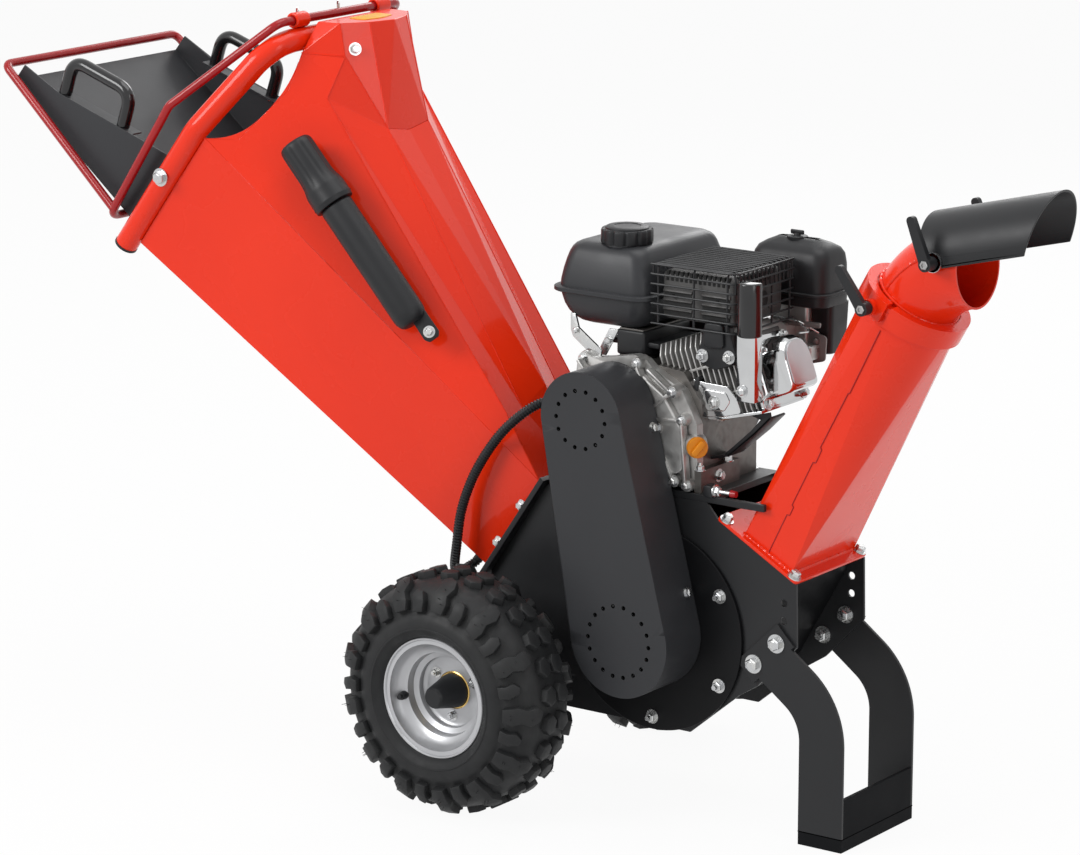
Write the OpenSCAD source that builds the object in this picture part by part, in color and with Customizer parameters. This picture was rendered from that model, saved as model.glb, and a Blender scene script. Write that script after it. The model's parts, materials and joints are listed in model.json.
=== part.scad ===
// Petrol garden shredder on two wheels: feed hopper with folding tray and stop bar, chipping rotor,
// belt drive, small engine, swivelling discharge chute and a front stand.
// Millimetres. +X runs from the feed tray to the discharge, +Z is up, Z = 0 is the ground.

/* [Wheels] */
// Outside diameter of a tyre
tyre_d = 355; // [340:1:380]
// Width of a tyre
tyre_w = 145; // [130:1:150]
// Distance between the wheels' mid-planes
track = 484; // [475:1:520]
// Diameter of a rim at its edge
rim_d = 177; // [170:1:190]
// Width of a rim over its edges
rim_w = 120; // [110:1:126]
// Height of the tread lugs
lug_h = 10; // [6:0.5:14]
// Lugs around each half of a tyre
lug_count = 18; // [14:1:22]
// Diameter of the axle
axle_d = 20; // [16:1:24]

/* [Housing] */
// Width of the rotor housing over its side plates
housing_w = 182; // [176:1:190]
// Thickness of a side plate
plate_t = 4; // [3:0.5:6]
// Thickness of the wrap sheet round the rotor
wrap_t = 4; // [3:0.5:6]
// Rotor axis in front of the wheel axle
rotor_x = 239; // [236:1:242]
// Rotor axis above the ground
rotor_z = 274; // [271:1:277]
// Radius of the knife drum
drum_r = 116; // [105:1:119]
// Radius inside the wrap
wrap_r = 132; // [130:1:134]
// Diameter of the rotor shaft
shaft_d = 30; // [24:1:36]
// Radius of a round bearing plate
bearing_plate_r = 150; // [148:1:152]
// Thickness of a bearing plate
bearing_plate_t = 6; // [5:0.5:8]
// Spacing of the two spare holes in the front edge of each side plate
spare_hole_gap = 26; // [22:1:30]
// Diameter of a spare hole
spare_hole_d = 11; // [9:0.5:13]

/* [Belt drive] */
// Crankshaft axis in front of the wheel axle
crank_x = 173; // [170:1:176]
// Depth of the belt cover
cover_depth = 85; // [82:1:95]
// Wall of the belt cover
cover_t = 2; // [1.5:0.5:3]
// Radius of the belt cover's upper end
cover_top_r = 68; // [64:1:74]
// Radius of the belt cover's lower end
cover_bottom_r = 82; // [78:1:90]
// Diameter of the pulley on the crankshaft
engine_pulley_d = 90; // [80:1:100]
// Diameter of the pulley on the rotor shaft
rotor_pulley_d = 120; // [110:1:130]
// Diameter of a vent hole
vent_d = 3.5; // [2.5:0.5:5]

/* [Engine] */
// Top of the engine deck above the ground
deck_z = 480; // [478:1:486]
// Thickness of the engine deck
deck_t = 10; // [8:1:12]
// Crankshaft axis above the deck
crank_h = 106; // [102:1:108]
// Diameter of the crankshaft
crank_d = 20; // [18:1:24]
// Rise of the cylinder above the horizontal in degrees
cylinder_tilt = 20; // [17:1:23]
// Spacing of the cooling fins
fin_pitch = 9; // [8:0.5:11]
// Diameter of the fuel cap
fuel_cap_d = 75; // [66:1:80]
// Diameter of the oil cap
oil_cap_d = 28; // [24:1:30]
// Thickness of a guard wire
guard_wire = 3; // [2.5:0.5:4]

/* [Hopper] */
// Thickness of the hopper sheet
sheet_t = 3; // [2:0.5:4]
// Diameter of the tube round the feed mouth
tube_d = 35; // [32:1:36]
// Wall of that tube
tube_wall = 2.5; // [2:0.5:4]
// Thickness of the black feed flange
flange_t = 8; // [6:1:9]
// Half width of the tray floor
tray_half = 187; // [180:1:188]
// Gap between a tray wing and the mouth tube
tray_gap = 3.5; // [3:0.5:6]
// Thickness of the tray sheet
tray_t = 2.5; // [2:0.5:3]
// Diameter of a tray grip
grip_d = 20; // [16:1:22]
// Diameter of the stop bar
stop_bar_d = 13; // [11:1:14]
// Diameter of the tool tube
tool_tube_d = 50; // [44:1:54]

/* [Discharge] */
// Tilt of the chute flange in degrees
chute_tilt = 29.4; // [28.8:0.1:30]
// Height of the chute above its flange
chute_h = 404; // [380:1:420]
// Outside diameter of the elbow tube
elbow_d = 118; // [112:1:120]
// Wall of the chute, the elbow and the deflector
duct_t = 3; // [2:0.5:4]
// Bend radius of the elbow
elbow_bend = 115; // [105:1:125]
// Outside diameter of the clamp collar
collar_d = 156; // [154:1:164]
// Length of the deflector in front of its pivot
deflector_len = 180; // [160:1:200]
// Upward tilt of the deflector at rest in degrees
deflector_tilt = 14; // [10:1:18]
// Length of a clamp lever
lever_len = 62; // [50:1:70]

/* [Stand] */
// Width of a stand leg
leg_w = 72; // [66:1:76]
// Thickness of a stand leg
leg_t = 5; // [4:0.5:7]
// Height of the foot bar
foot_h = 20; // [16:1:26]

/* [Hidden] */
$fn = 48;
// Gap between faces that move past each other
clear = 0.4;
// Gap between a shaft and its bore
run_fit = 0.05;
// Gap where one piece is welded to another
seat = 0.3;
axle_z = tyre_d / 2;
half_w = housing_w / 2;
inner_w = half_w - plate_t;
crank_z = deck_z + crank_h;
plates_top = deck_z - deck_t;
tube_r = tube_d / 2;
mouth_half = tray_half + tray_gap + tube_r;
bar_r = stop_bar_d / 2;
rotor = [rotor_x, rotor_z];
crank = [crank_x, crank_z];

// Colours
red = [0.90, 0.22, 0.12];
dark_red = [0.62, 0.08, 0.12];
black = [0.14, 0.14, 0.15];
zinc = [0.75, 0.75, 0.77];
silver = [0.80, 0.81, 0.83];
rubber = [0.10, 0.10, 0.10];

// Belt cover and drive planes, all on the near side
bearing_face = half_w + bearing_plate_t;
cover_back_t = 2;
cover_back = -bearing_face - cover_back_t;
cover_front = cover_back - cover_depth;
pulley_w = 30;
pulley_y = cover_front + cover_t + 12;
belt_w = 9;
belt_depth = 8;
groove_y = [pulley_y + 4, pulley_y + 17];
boss_r = 42;
boss_len = 15;

// Engine
crankcase_y = [-68, 74];
crankcase_cover_t = 27;
cylinder_y = 38;
fin_y = 55;
blower_y = [74, 132];
blower_r = 105;
recoil_y = 178;
recoil_r = 80;
tank_x = [51, 212];
tank_y = [-85, 150];
tank_z = [694, 812];
tank_seam = [741, 747];
cap_at = [145, -30];
oil_cap_at = [285, -68, 547];
muffler_box = [[228, -66, 718], [352, 60, 788]];
guard_box = [[217.5, -79, 712], [362, 72, 800]];
cleaner_box = [[276, 78, 728], [398, 156, 820]];
throttle_at = crank + [62, 68];
throttle_pin_d = 8;

// Throat and hopper corners on the near side, as [x, half width, z]
throat_slope = 55.4;
throat_len = 168;
throat_bottom = [-57, half_w, 317];
throat_dir = [cos(throat_slope), 0, sin(throat_slope)];
throat_normal = [sin(throat_slope), 0, -cos(throat_slope)];
throat_top = throat_bottom + throat_len * throat_dir;

// Mouth tube centre line on the near side: up the mouth, a kink, a bend and the run across the top
tube_bottom = [-639, mouth_half, 749];
tube_kink = [-500, mouth_half, 933];
bend_in = [48, 70, 96];
tube_bend_low = [-418, mouth_half - bend_in[0], 1038];
tube_bend_mid = [-400, mouth_half - bend_in[1], 1058];
tube_bend_end = [-395, mouth_half - bend_in[2], 1063];
tube_leg = norm(tube_kink - tube_bottom);
tube_dir = (tube_kink - tube_bottom) / tube_leg;
tube_side = [tube_dir[2], 0, -tube_dir[0]];
mouth_start = 19;
mouth_len = 213;
mouth_bottom = tube_bottom + mouth_start * tube_dir + (tube_r + 2 * seat) * tube_side;
mouth_crease = mouth_bottom + mouth_len * tube_dir;

// The upper side facet is flat, and these corners lie in it
roof_fold = throat_top + [-60, 0, 93];
side_normal = cross(roof_fold - throat_top, mouth_crease - throat_top);
function side_y(x, z) = half_w - (side_normal[0] * (x - throat_top[0]) + side_normal[2] * (z - throat_top[2]))
    / side_normal[1];
function on_side(x, z) = [x, side_y(x, z), z];
hole_low = on_side(-440, 922);
hole_mid = on_side(-387, 993);
side_top = on_side(-379, 1046);
head_seam = on_side(-321, 1042);
roof_edge_top = on_side(-334, 982);
roof_line_low = [-24, 50, 551];
ridge_low = [-19, 0, 577];
head_base = [-268, 48, 936];
ridge_high = [-266, 0, 929];
head_top_z = 1090;
head_back = [-368, 85, head_top_z];
head_side = [-330, 81, head_top_z];
head_corner = [-304, 44, head_top_z];
head_ridge = [-292, 0, head_top_z];

// Tray hinge on the tube, and the stop bar's centre line
hinge = [-555, 860];
sleeve_wall = 5;
bar_axis = [tube_bend_end[0], tube_bend_end[2] + tube_r + sleeve_wall + bar_r];
sleeve_len = 30;
sleeve_y = tube_bend_end[1] - sleeve_len / 2 - 1;
bar_corner = [bar_axis[0], tube_bend_end[1] + 30, bar_axis[1]];
bar_kink = [-545, mouth_half + 7, 966];
bar_bottom = [-675, mouth_half - 3, 785];
rail_x = -885;
rail_low = bar_bottom + 0.07 * (bar_kink - bar_bottom);
rail_corner = [rail_x, mouth_half - 10, 995];

// Tray in its own frame: along the floor from the outer edge, and up from the floor
tray_slope = 39.6;
tray_outer = [-874, 972];
tray_len = 332;
wing_outline = [[0, 0], [0, 30], [75, 45], [300, 130], [318, 135], [tray_len, 122], [tray_len, 0]];
tray_pin_r = 6;

// Discharge in the frame of the chute flange
flange_corner = [342.9, 449.1];
flange_len = 151.4;
flange_w = housing_w + 5;
flange_plate_t = 5;
duct_len = 90;
duct_w = 164;
duct_mid = 13;
neck_x = -8;
neck_d = 140;
rim_ring_d = 146;
rim_ring_t = 6;
elbow_angle = 57;
flange_mid = [flange_corner[0] + flange_len / 2 * cos(chute_tilt), 0,
              flange_corner[1] - flange_len / 2 * sin(chute_tilt)];
elbow_base = chute_h + 2 * rim_ring_t + clear;
pivot_arm = 30;
deflector_r = elbow_d / 2 + 2.5 + duct_t;
// Centre of the elbow's bend and its outlet, as distances in the flange frame
bend_mid = [neck_x + elbow_bend, elbow_base];
outlet = bend_mid + elbow_bend * [-cos(elbow_angle), sin(elbow_angle)];
outlet_dir = [sin(elbow_angle), cos(elbow_angle)];
pivot_local = outlet - pivot_arm * outlet_dir + 14 * [-outlet_dir[1], outlet_dir[0]];
pivot = [flange_mid[0] + pivot_local[0] * cos(chute_tilt) + pivot_local[1] * sin(chute_tilt),
         flange_mid[2] - pivot_local[0] * sin(chute_tilt) + pivot_local[1] * cos(chute_tilt)];
deflector_tip_x = pivot[0] + deflector_len * cos(deflector_tilt) - deflector_r * sin(deflector_tilt);
visor_cut = 42;
visor_back = 22;
visor_low = 10;
collar_lip = 5;
collar_reach = 12;
lever_pin_d = 10;
lever_at = [neck_x - 26, chute_h - 2];
lever_world = [flange_mid[0] + lever_at[0] * cos(chute_tilt) + lever_at[1] * sin(chute_tilt),
               flange_mid[2] - lever_at[0] * sin(chute_tilt) + lever_at[1] * cos(chute_tilt)];

// The origin lies under the middle of the machine's length, and the wheel axle this far in front of it
axle_x = -(rail_x - bar_r + deflector_tip_x) / 2;
module placed() translate([axle_x, 0, 0]) children();

// Stand
leg_bolt_high = [446.6, 286.3];
leg_bolt_low = [409.5, 250.5];
leg_x = 486;
leg_turn_z = 150;
leg_turn_r = 60;
spare_hole = [455, 332];

// Side plate outline from the throat down, under the axle, along the bottom and up the front
plate_outline = [
    [throat_bottom[0] + flange_t * throat_normal[0], throat_bottom[2] + flange_t * throat_normal[2]],
    [-62, axle_z + 30],
    [-40, axle_z - 42],
    [-10, 129],
    [300, 129],
    [382, 197.5],
    [413, 217.5],
    [477, 284],
    [flange_corner[0] + flange_len * cos(chute_tilt), flange_corner[1] - flange_len * sin(chute_tilt)],
    flange_corner,
    [325, plates_top],
    [66, plates_top],
    [throat_top[0] + flange_t * throat_normal[0], throat_top[2] + flange_t * throat_normal[2]]];

// Conduit: a ribbed hose from the engine to the underside of the hopper floor
hose_d = 15;
hose_root_d = 12.5;
hose_bore_d = 9;
hose_ribs = 110;
hose_sides = 8;
hose_route = [
    [95, -52, 572], [84, -52, 572], [73, -52, 572], [52, -78, 578], [28, -103, 567], [-12, -119, 528],
    [-52, -125, 469], [-77, -127, 409], [-88, -126, 350], [-98, -117, 316], [-106, -96, 301], [-108, -72, 303],
    [-101, -60, 311], [-92, -60, 322.5], [-83, -60, 334]];

// Shared shapes

function near(p) = [p[0], -p[1], p[2]];
function far(p) = [p[0], p[1], p[2]];
function unit(v) = v / norm(v);
function sum(list, i = 0) = i == len(list) - 1 ? list[i] : list[i] + sum(list, i + 1);

// A rod from a to b
module rod(a, b, d) {
    v = b - a;
    translate(a)
        rotate([0, acos(v[2] / norm(v)), atan2(v[1], v[0])])
            cylinder(h = norm(v), d = d);
}

// A bent rod through points, with round joints a little thicker than the rod
joint_swell = 1.015;
module bent_rod(points, d) {
    for (i = [0 : len(points) - 2]) rod(points[i], points[i + 1], d);
    for (i = [1 : len(points) - 2]) translate(points[i]) sphere(d = joint_swell * d);
}

// A cylinder along Y from y0 to y1 with its axis through at = [x, z]
module across(at, y0, y1, d) {
    translate([at[0], y0, at[1]]) rotate([-90, 0, 0]) cylinder(h = y1 - y0, d = d);
}

// A side-view outline pulled along Y from y0 to y1
module side_view(y0, y1) {
    translate([0, y1, 0]) rotate([90, 0, 0]) linear_extrude(y1 - y0) children();
}

// A box between two corners
module block(a, b) {
    translate(a) cube(b - a);
}

// A box with round edges
module round_block(a, b, r) {
    hull()
        for (x = [a[0] + r, b[0] - r], y = [a[1] + r, b[1] - r], z = [a[2] + r, b[2] - r])
            translate([x, y, z]) sphere(r, $fn = 16);
}

// Two circles and their common tangents, as one outline
module belt_outline(p, pr, q, qr) {
    d = norm(q - p);
    along = atan2(q[1] - p[1], q[0] - p[0]);
    lean = acos((pr - qr) / d);
    translate(p) circle(pr);
    translate(q) circle(qr);
    polygon([for (s = [1, -1], k = s > 0 ? [0, 1] : [1, 0])
        (k == 0 ? p + (pr - 0.02) * [cos(along + s * lean), sin(along + s * lean)]
                : q + (qr - 0.02) * [cos(along + s * lean), sin(along + s * lean)])]);
}

// A hexagon bolt head along Y, outward on side s
module bolt_head(at, y, s, d, h) {
    translate([at[0], y, at[1]]) rotate([-90 * s, 0, 0]) cylinder(h = h, d = d, $fn = 6);
    translate([at[0], y, at[1]]) rotate([-90 * s, 0, 0]) cylinder(h = h + 3, d = d * 0.55);
}

// A thick sheet over faces of a point list, with its inner side at inner
function edges_of(f) = [for (i = [0 : len(f) - 1]) [f[i], f[(i + 1) % len(f)]]];
function has_edge(faces, e) = len([for (f = faces) for (g = edges_of(f)) if (g == e) 1]) > 0;
module thick_sheet(points, inner, faces) {
    n = len(points);
    back = [for (f = faces) [for (i = [len(f) - 1 : -1 : 0]) f[i] + n]];
    rim = [for (f = faces) for (e = edges_of(f))
        if (!has_edge(faces, [e[1], e[0]])) each e[0] < e[1]
            ? [[e[1], e[0], e[1] + n], [e[0], e[0] + n, e[1] + n]]
            : [[e[1], e[0], e[0] + n], [e[1], e[0] + n, e[1] + n]]];
    polyhedron(concat(points, inner), concat(faces, back, rim));
}
function face_normal(p, f) = unit(cross(p[f[2]] - p[f[0]], p[f[1]] - p[f[0]]));
function sheet_inner(points, faces, t) = [for (i = [0 : len(points) - 1])
    let (n = [for (f = faces) if (len(search(i, f)) > 0) face_normal(points, f)])
    len(n) == 0 ? points[i] : points[i] - t * unit(sum(n)) / max(0.6, norm(sum(n)) / len(n))];

// Rotor housing

module plate_2d() {
    difference() {
        polygon(plate_outline);
        translate(rotor) circle(boss_r + 12);
        translate([0, axle_z]) circle(d = axle_d);
        for (s = [-1, 1]) translate(spare_hole + [0, s * spare_hole_gap / 2]) circle(d = spare_hole_d);
    }
}
module housing_plate_left() color(black) placed() side_view(-half_w, -inner_w) plate_2d();
module housing_plate_right() color(black) placed() side_view(inner_w, half_w) plate_2d();

// The sheet between the plates: round the rotor, with a throat channel and a discharge duct
throat_reach = 215;
duct_reach = 190;
module throat_2d(grow, past = 0) {
    base = [for (s = [0, 1]) let (p = throat_bottom + flange_t * throat_normal
        + (s * throat_len + (s == 0 ? -grow : grow)) * throat_dir) [p[0], p[2]]];
    reach = throat_reach * [throat_normal[0], throat_normal[2]];
    back = past * [throat_normal[0], throat_normal[2]];
    polygon([base[0] - back, base[1] - back, base[1] + 0.55 * reach, base[0] + reach]);
}
module duct_2d(grow, past = 0) {
    along = [cos(chute_tilt), -sin(chute_tilt)];
    up = [sin(chute_tilt), cos(chute_tilt)];
    mid = [flange_mid[0], flange_mid[2]] + duct_mid * along;
    half = duct_len / 2 + grow;
    polygon([mid - half * along + past * up, mid + half * along + past * up, mid + half * along - duct_reach * up,
             mid - half * along - 0.75 * duct_reach * up]);
}
module housing_wrap() {
    color(black) placed() side_view(-inner_w, inner_w) difference() {
        union() {
            translate(rotor) circle(wrap_r + wrap_t);
            throat_2d(wrap_t);
            duct_2d(wrap_t);
        }
        translate(rotor) circle(wrap_r);
        throat_2d(0, 1);
        duct_2d(0, 1);
    }
}

// A frame between the hopper and the housing, square to the throat
flange_lip = 16;
module feed_flange() {
    color(black) placed() translate([throat_bottom[0], 0, throat_bottom[2]])
        rotate([0, 90 - throat_slope, 0]) difference() {
            translate([0, -half_w - flange_lip, -flange_lip])
                cube([flange_t, housing_w + 2 * flange_lip, throat_len + 2 * flange_lip]);
            translate([-1, -inner_w, 0]) cube([flange_t + 2, 2 * inner_w, throat_len]);
        }
}

bearing_bolts = 6;
bearing_bolt_r = bearing_plate_r - 19;
module bearing_plates() {
    color(black) placed() for (s = [-1, 1]) difference() {
        union() {
            across(rotor, s > 0 ? half_w : -bearing_face, s > 0 ? bearing_face : -half_w, 2 * bearing_plate_r);
            across(rotor, s > 0 ? half_w : -bearing_face - boss_len, s > 0 ? bearing_face + boss_len : -half_w,
                   2 * boss_r);
        }
        across(rotor, -bearing_face - boss_len - 1, bearing_face + boss_len + 1, shaft_d + 2 * run_fit);
    }
}

// The fixed knife at the end of the throat floor, bolted between the plates
knife_t = 8;
module counter_knife() {
    reach = throat_reach - 92;
    color(zinc) placed() translate([throat_bottom[0], 0, throat_bottom[2]])
        rotate([0, 90 - throat_slope, 0])
            translate([flange_t + reach - 60, -inner_w, 0]) cube([60, 2 * inner_w, knife_t]);
}

// Rotor

module rotor_shaft() {
    color(zinc) placed() across(rotor, pulley_y, bearing_face + boss_len + 4, shaft_d);
}
drum_half = inner_w - 6;
drum_core_r = 72;
disc_count = 4;
disc_t = 12;
disc_step = (2 * drum_half - disc_t) / (disc_count - 1);
knife_count = 2;
knife_len = 28;
module rotor_drum() {
    color(silver) placed() {
        difference() {
            union() {
                across(rotor, -drum_half, drum_half, 2 * drum_core_r);
                for (i = [0 : disc_count - 1])
                    across(rotor, -drum_half + i * disc_step, -drum_half + i * disc_step + disc_t, 2 * drum_r);
            }
            across(rotor, -drum_half - 1, drum_half + 1, shaft_d);
            for (k = [0 : knife_count - 1]) translate([rotor_x, 0, rotor_z]) rotate([0, 180 * k + 30, 0])
                translate([drum_r - knife_len, -drum_half - 1, 0]) cube([knife_len + 1, 2 * drum_half + 2, 30]);
        }
        for (k = [0 : knife_count - 1]) translate([rotor_x, 0, rotor_z]) rotate([0, 180 * k + 30, 0])
            translate([drum_r - knife_len, -drum_half, 0]) cube([knife_len + 6, 2 * drum_half, knife_t]);
    }
}

// Belt drive

module grooved_pulley(at, d, bore) {
    root = belt_depth + clear;
    translate([at[0], 0, at[1]]) rotate([-90, 0, 0]) rotate_extrude() difference() {
        translate([bore / 2, pulley_y]) square([(d - bore) / 2, pulley_w]);
        for (y = groove_y) translate([d / 2 - root, y - clear]) square([root + 1, belt_w + 2 * clear]);
    }
}
module rotor_pulley() color(zinc) placed() grooved_pulley(rotor, rotor_pulley_d, shaft_d);
module engine_pulley() color(zinc) placed() grooved_pulley(crank, engine_pulley_d, crank_d);
module drive_belts() {
    color(rubber) placed() for (y = groove_y) side_view(y, y + belt_w) difference() {
        belt_outline(crank, engine_pulley_d / 2 + 2, rotor, rotor_pulley_d / 2 + 2);
        belt_outline(crank, engine_pulley_d / 2 - belt_depth, rotor, rotor_pulley_d / 2 - belt_depth);
    }
}
module belt_cover_back() {
    color(black) placed() side_view(cover_back, cover_back + cover_back_t) difference() {
        belt_outline(crank, cover_top_r, rotor, cover_bottom_r);
        translate(rotor) circle(boss_r + clear);
        translate(crank) circle(d = crank_d + 16);
    }
}
top_vents = 14;
bottom_vents = 18;
module belt_cover() {
    color(black) placed() difference() {
        side_view(cover_front, cover_back) belt_outline(crank, cover_top_r, rotor, cover_bottom_r);
        side_view(cover_front + cover_t, cover_back + 1)
            belt_outline(crank, cover_top_r - cover_t, rotor, cover_bottom_r - cover_t);
        for (i = [0 : top_vents - 1])
            across(crank + 0.61 * cover_top_r * [cos(360 * i / top_vents), sin(360 * i / top_vents)],
                   cover_front - 1, cover_front + cover_t + 1, vent_d);
        for (i = [0 : bottom_vents - 1])
            across(rotor + 0.63 * cover_bottom_r * [cos(360 * i / bottom_vents), sin(360 * i / bottom_vents)],
                   cover_front - 1, cover_front + cover_t + 1, vent_d);
    }
}

// Engine

deck_x = [66, 420];
rail_w = 7;
module engine_deck() {
    color(black) placed() {
        block([deck_x[0], -half_w, plates_top], [330, half_w, deck_z]);
        for (s = [-1, 1]) block([330, s > 0 ? half_w - rail_w : -half_w, plates_top],
                                [deck_x[1], s > 0 ? half_w : -half_w + rail_w, deck_z]);
    }
}
module crank_bore(y0, y1) across(crank, y0, y1, crank_d + 2 * run_fit);
module crankcase_2d(inset, bottom) {
    translate(crank) polygon([[-78 + inset, bottom], [127 - inset, bottom], [127 - inset, 18 - inset],
        [96 - inset, 60 - inset], [28, 66 - inset], [-48 + inset, 50 - inset], [-78 + inset, 12 - inset]]);
}
// Foot in front of the crankcase: its front face, its two sides and its height
mount_foot_x = crank_x + 139;
mount_foot_y = [-86, 12];
mount_foot_h = 32;
case_front = crank_x + 127;
module crankcase() {
    color(silver) placed() difference() {
        union() {
            side_view(crankcase_y[0], crankcase_y[1]) crankcase_2d(0, -crank_h);
            block([case_front - 1, crankcase_y[0] + 1, deck_z], [mount_foot_x, mount_foot_y[1], deck_z + mount_foot_h]);
            block([case_front + seat, mount_foot_y[0], deck_z], [mount_foot_x, mount_foot_y[1], deck_z + mount_foot_h]);
            block([crank_x - 22, -56, crank_z + 40], [crank_x + 18, 56, tank_z[0]]);
        }
        crank_bore(crankcase_y[0] - 1, crankcase_y[1] + 1);
    }
}
cover_face = crankcase_y[0] - crankcase_cover_t;
oil_stem_d = 16;
oil_neck = 28;
module on_oil() translate(oil_cap_at) rotate([0, 90, -45]) children();
module crankcase_cover() {
    color(silver) placed() difference() {
        union() {
            side_view(cover_face + 12, crankcase_y[0]) crankcase_2d(0, 4 - crank_h);
            side_view(cover_face, cover_face + 12) crankcase_2d(10, 14 - crank_h);
            on_oil() translate([0, 0, 13.5]) cylinder(h = oil_neck - 13.5, d = oil_cap_d - 2);
        }
        crank_bore(cover_face - 1, crankcase_y[0] + 1);
        on_oil() translate([0, 0, oil_neck - 11]) cylinder(h = 12, d = oil_stem_d + 2 * run_fit);
    }
}
module crankshaft() {
    color(zinc) placed() {
        across(crank, pulley_y, blower_y[0] + 6, crank_d);
        across(crank, blower_y[0] + 6, blower_y[1] - 8, 2 * blower_r - 30);
    }
}
module on_cylinder() translate([crank_x, 0, crank_z]) rotate([0, -cylinder_tilt, 0]) children();
fin_x = [68, 212];
fin_top_z = muffler_box[0][2] - 4;
function fin_top(x) = min(70, (fin_top_z - crank_z - (x + 3) * sin(cylinder_tilt)) / cos(cylinder_tilt));
function fin_low(x) = x * cos(cylinder_tilt) + 44 * sin(cylinder_tilt) > case_front - crank_x + 3 ? -58 : -40;
module engine_cylinder() {
    color(silver) placed() difference() {
        on_cylinder() {
            block([fin_x[0] - 8, -cylinder_y, -44], [fin_x[1] + 6, cylinder_y, 50]);
            for (x = [fin_x[0] : fin_pitch : fin_x[1]]) block([x, -fin_y, fin_low(x)], [x + 3, fin_y, fin_top(x)]);
        }
        side_view(-100, 100) crankcase_2d(0, -crank_h);
    }
}
module valve_cover() {
    color(silver) placed() on_cylinder()
        translate([fin_x[1] + 6, 0, 0]) rotate([90, 0, 90]) linear_extrude(44)
            polygon([[-cylinder_y, -52], [cylinder_y, -52], [cylinder_y, 6], [30, 30], [12, 42], [-12, 42],
                     [-30, 30], [-cylinder_y, 6]]);
}
module blower_housing() {
    color(black) placed() {
        difference() {
            across(crank, blower_y[0], blower_y[1], 2 * blower_r);
            across(crank, blower_y[0] + 3, blower_y[1] - 3, 2 * blower_r - 12);
            across(crank, blower_y[0] - 1, blower_y[0] + 4, crank_d + 6);
        }
        across(crank, blower_y[1], recoil_y, 2 * recoil_r);
        across(throttle_at, blower_y[1], blower_y[1] + 6, throttle_pin_d + 8);
        across(throttle_at, blower_y[1], blower_y[1] + 16, throttle_pin_d);
    }
}
throttle_y = blower_y[1] + 6 + clear;
module throttle_lever() {
    tip = throttle_at + [10, 62];
    color(zinc) placed() difference() {
        side_view(throttle_y, throttle_y + 5) belt_outline(throttle_at, 9, tip, 6);
        across(throttle_at, throttle_y - 1, throttle_y + 6, throttle_pin_d + 2 * run_fit);
    }
}

// Pull grip above the recoil cover, on a short stem
grip_r = 10;
grip_y = recoil_y - 1 - grip_r;
module starter_grip() {
    color(black) placed() translate([crank_x, 0, crank_z]) rotate([0, -45, 0]) {
        translate([0, grip_y, recoil_r + clear]) cylinder(h = 16, d = 8);
        translate([-42, grip_y, recoil_r + clear + 16]) rotate([0, 90, 0]) cylinder(h = 84, r = grip_r);
    }
}
neck_d2 = 52;
neck_h = 9;
module fuel_tank() {
    color(black) placed() {
        round_block([tank_x[0] + 4, tank_y[0] + 4, tank_z[0]], [tank_x[1] - 4, tank_y[1] - 4, tank_seam[1] + 20], 16);
        round_block([tank_x[0], tank_y[0], tank_seam[0] - 22], [tank_x[1], tank_y[1], tank_z[1]], 24);
        block([tank_x[0] - 4, tank_y[0] - 4, tank_seam[0]], [tank_x[1] + 4, tank_y[1] + 4, tank_seam[1]]);
        translate([cap_at[0], cap_at[1], tank_z[1] - 10]) cylinder(h = neck_h + 10, d = neck_d2);
    }
}
fuel_cap_h = 24;
module fuel_cap() {
    color(black) placed() translate([cap_at[0], cap_at[1], tank_z[1] + clear]) difference() {
        cylinder(h = fuel_cap_h, d = fuel_cap_d);
        translate([0, 0, -1]) cylinder(h = neck_h + 1.5, d = neck_d2 + 2 * clear);
    }
}
module oil_cap() {
    color([0.9, 0.45, 0.1]) placed() on_oil() translate([0, 0, oil_neck + clear]) {
        cylinder(h = 9, d = oil_cap_d);
        translate([0, 0, -10]) cylinder(h = 11, d = oil_stem_d);
        translate([-12, -3, 8]) cube([24, 6, 7]);
    }
}

// Muffler with its louvres, the pipe flange on the cylinder and the stay in front
louvre_count = 5;
stay_x = [364, 398];
stay_y = -77;
module muffler() {
    a = muffler_box[0];
    b = muffler_box[1];
    color([0.35, 0.34, 0.33]) placed() {
        difference() {
            round_block(a, b, 10);
            for (i = [0 : louvre_count - 1], x = [a[0] + 20, a[0] + 68])
                block([x, a[1] - 1, a[2] + 14 + 10 * i], [x + 36, a[1] + 4, a[2] + 18 + 10 * i]);
        }
        block([292, a[1] - 6, 648], [338, -fin_y, a[2] + 12]);
        block([stay_x[0], stay_y, 620], [stay_x[1], stay_y + 3, a[2] - 6]);
        block([stay_x[0] + 4, stay_y + 3, 648], [stay_x[1] - 4, -fin_y, 668]);
        intersection() {
            translate([(stay_x[0] + stay_x[1]) / 2, stay_y + 3, a[2] - 6])
                cylinder(h = b[2] - a[2] + 4, d = stay_x[1] - stay_x[0]);
            block([stay_x[0] - 1, stay_y - 20, a[2] - 7], [stay_x[1] + 1, stay_y + 3, b[2] + 9]);
        }
    }
}
guard_levels = 8;
guard_bars = 16;
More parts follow.
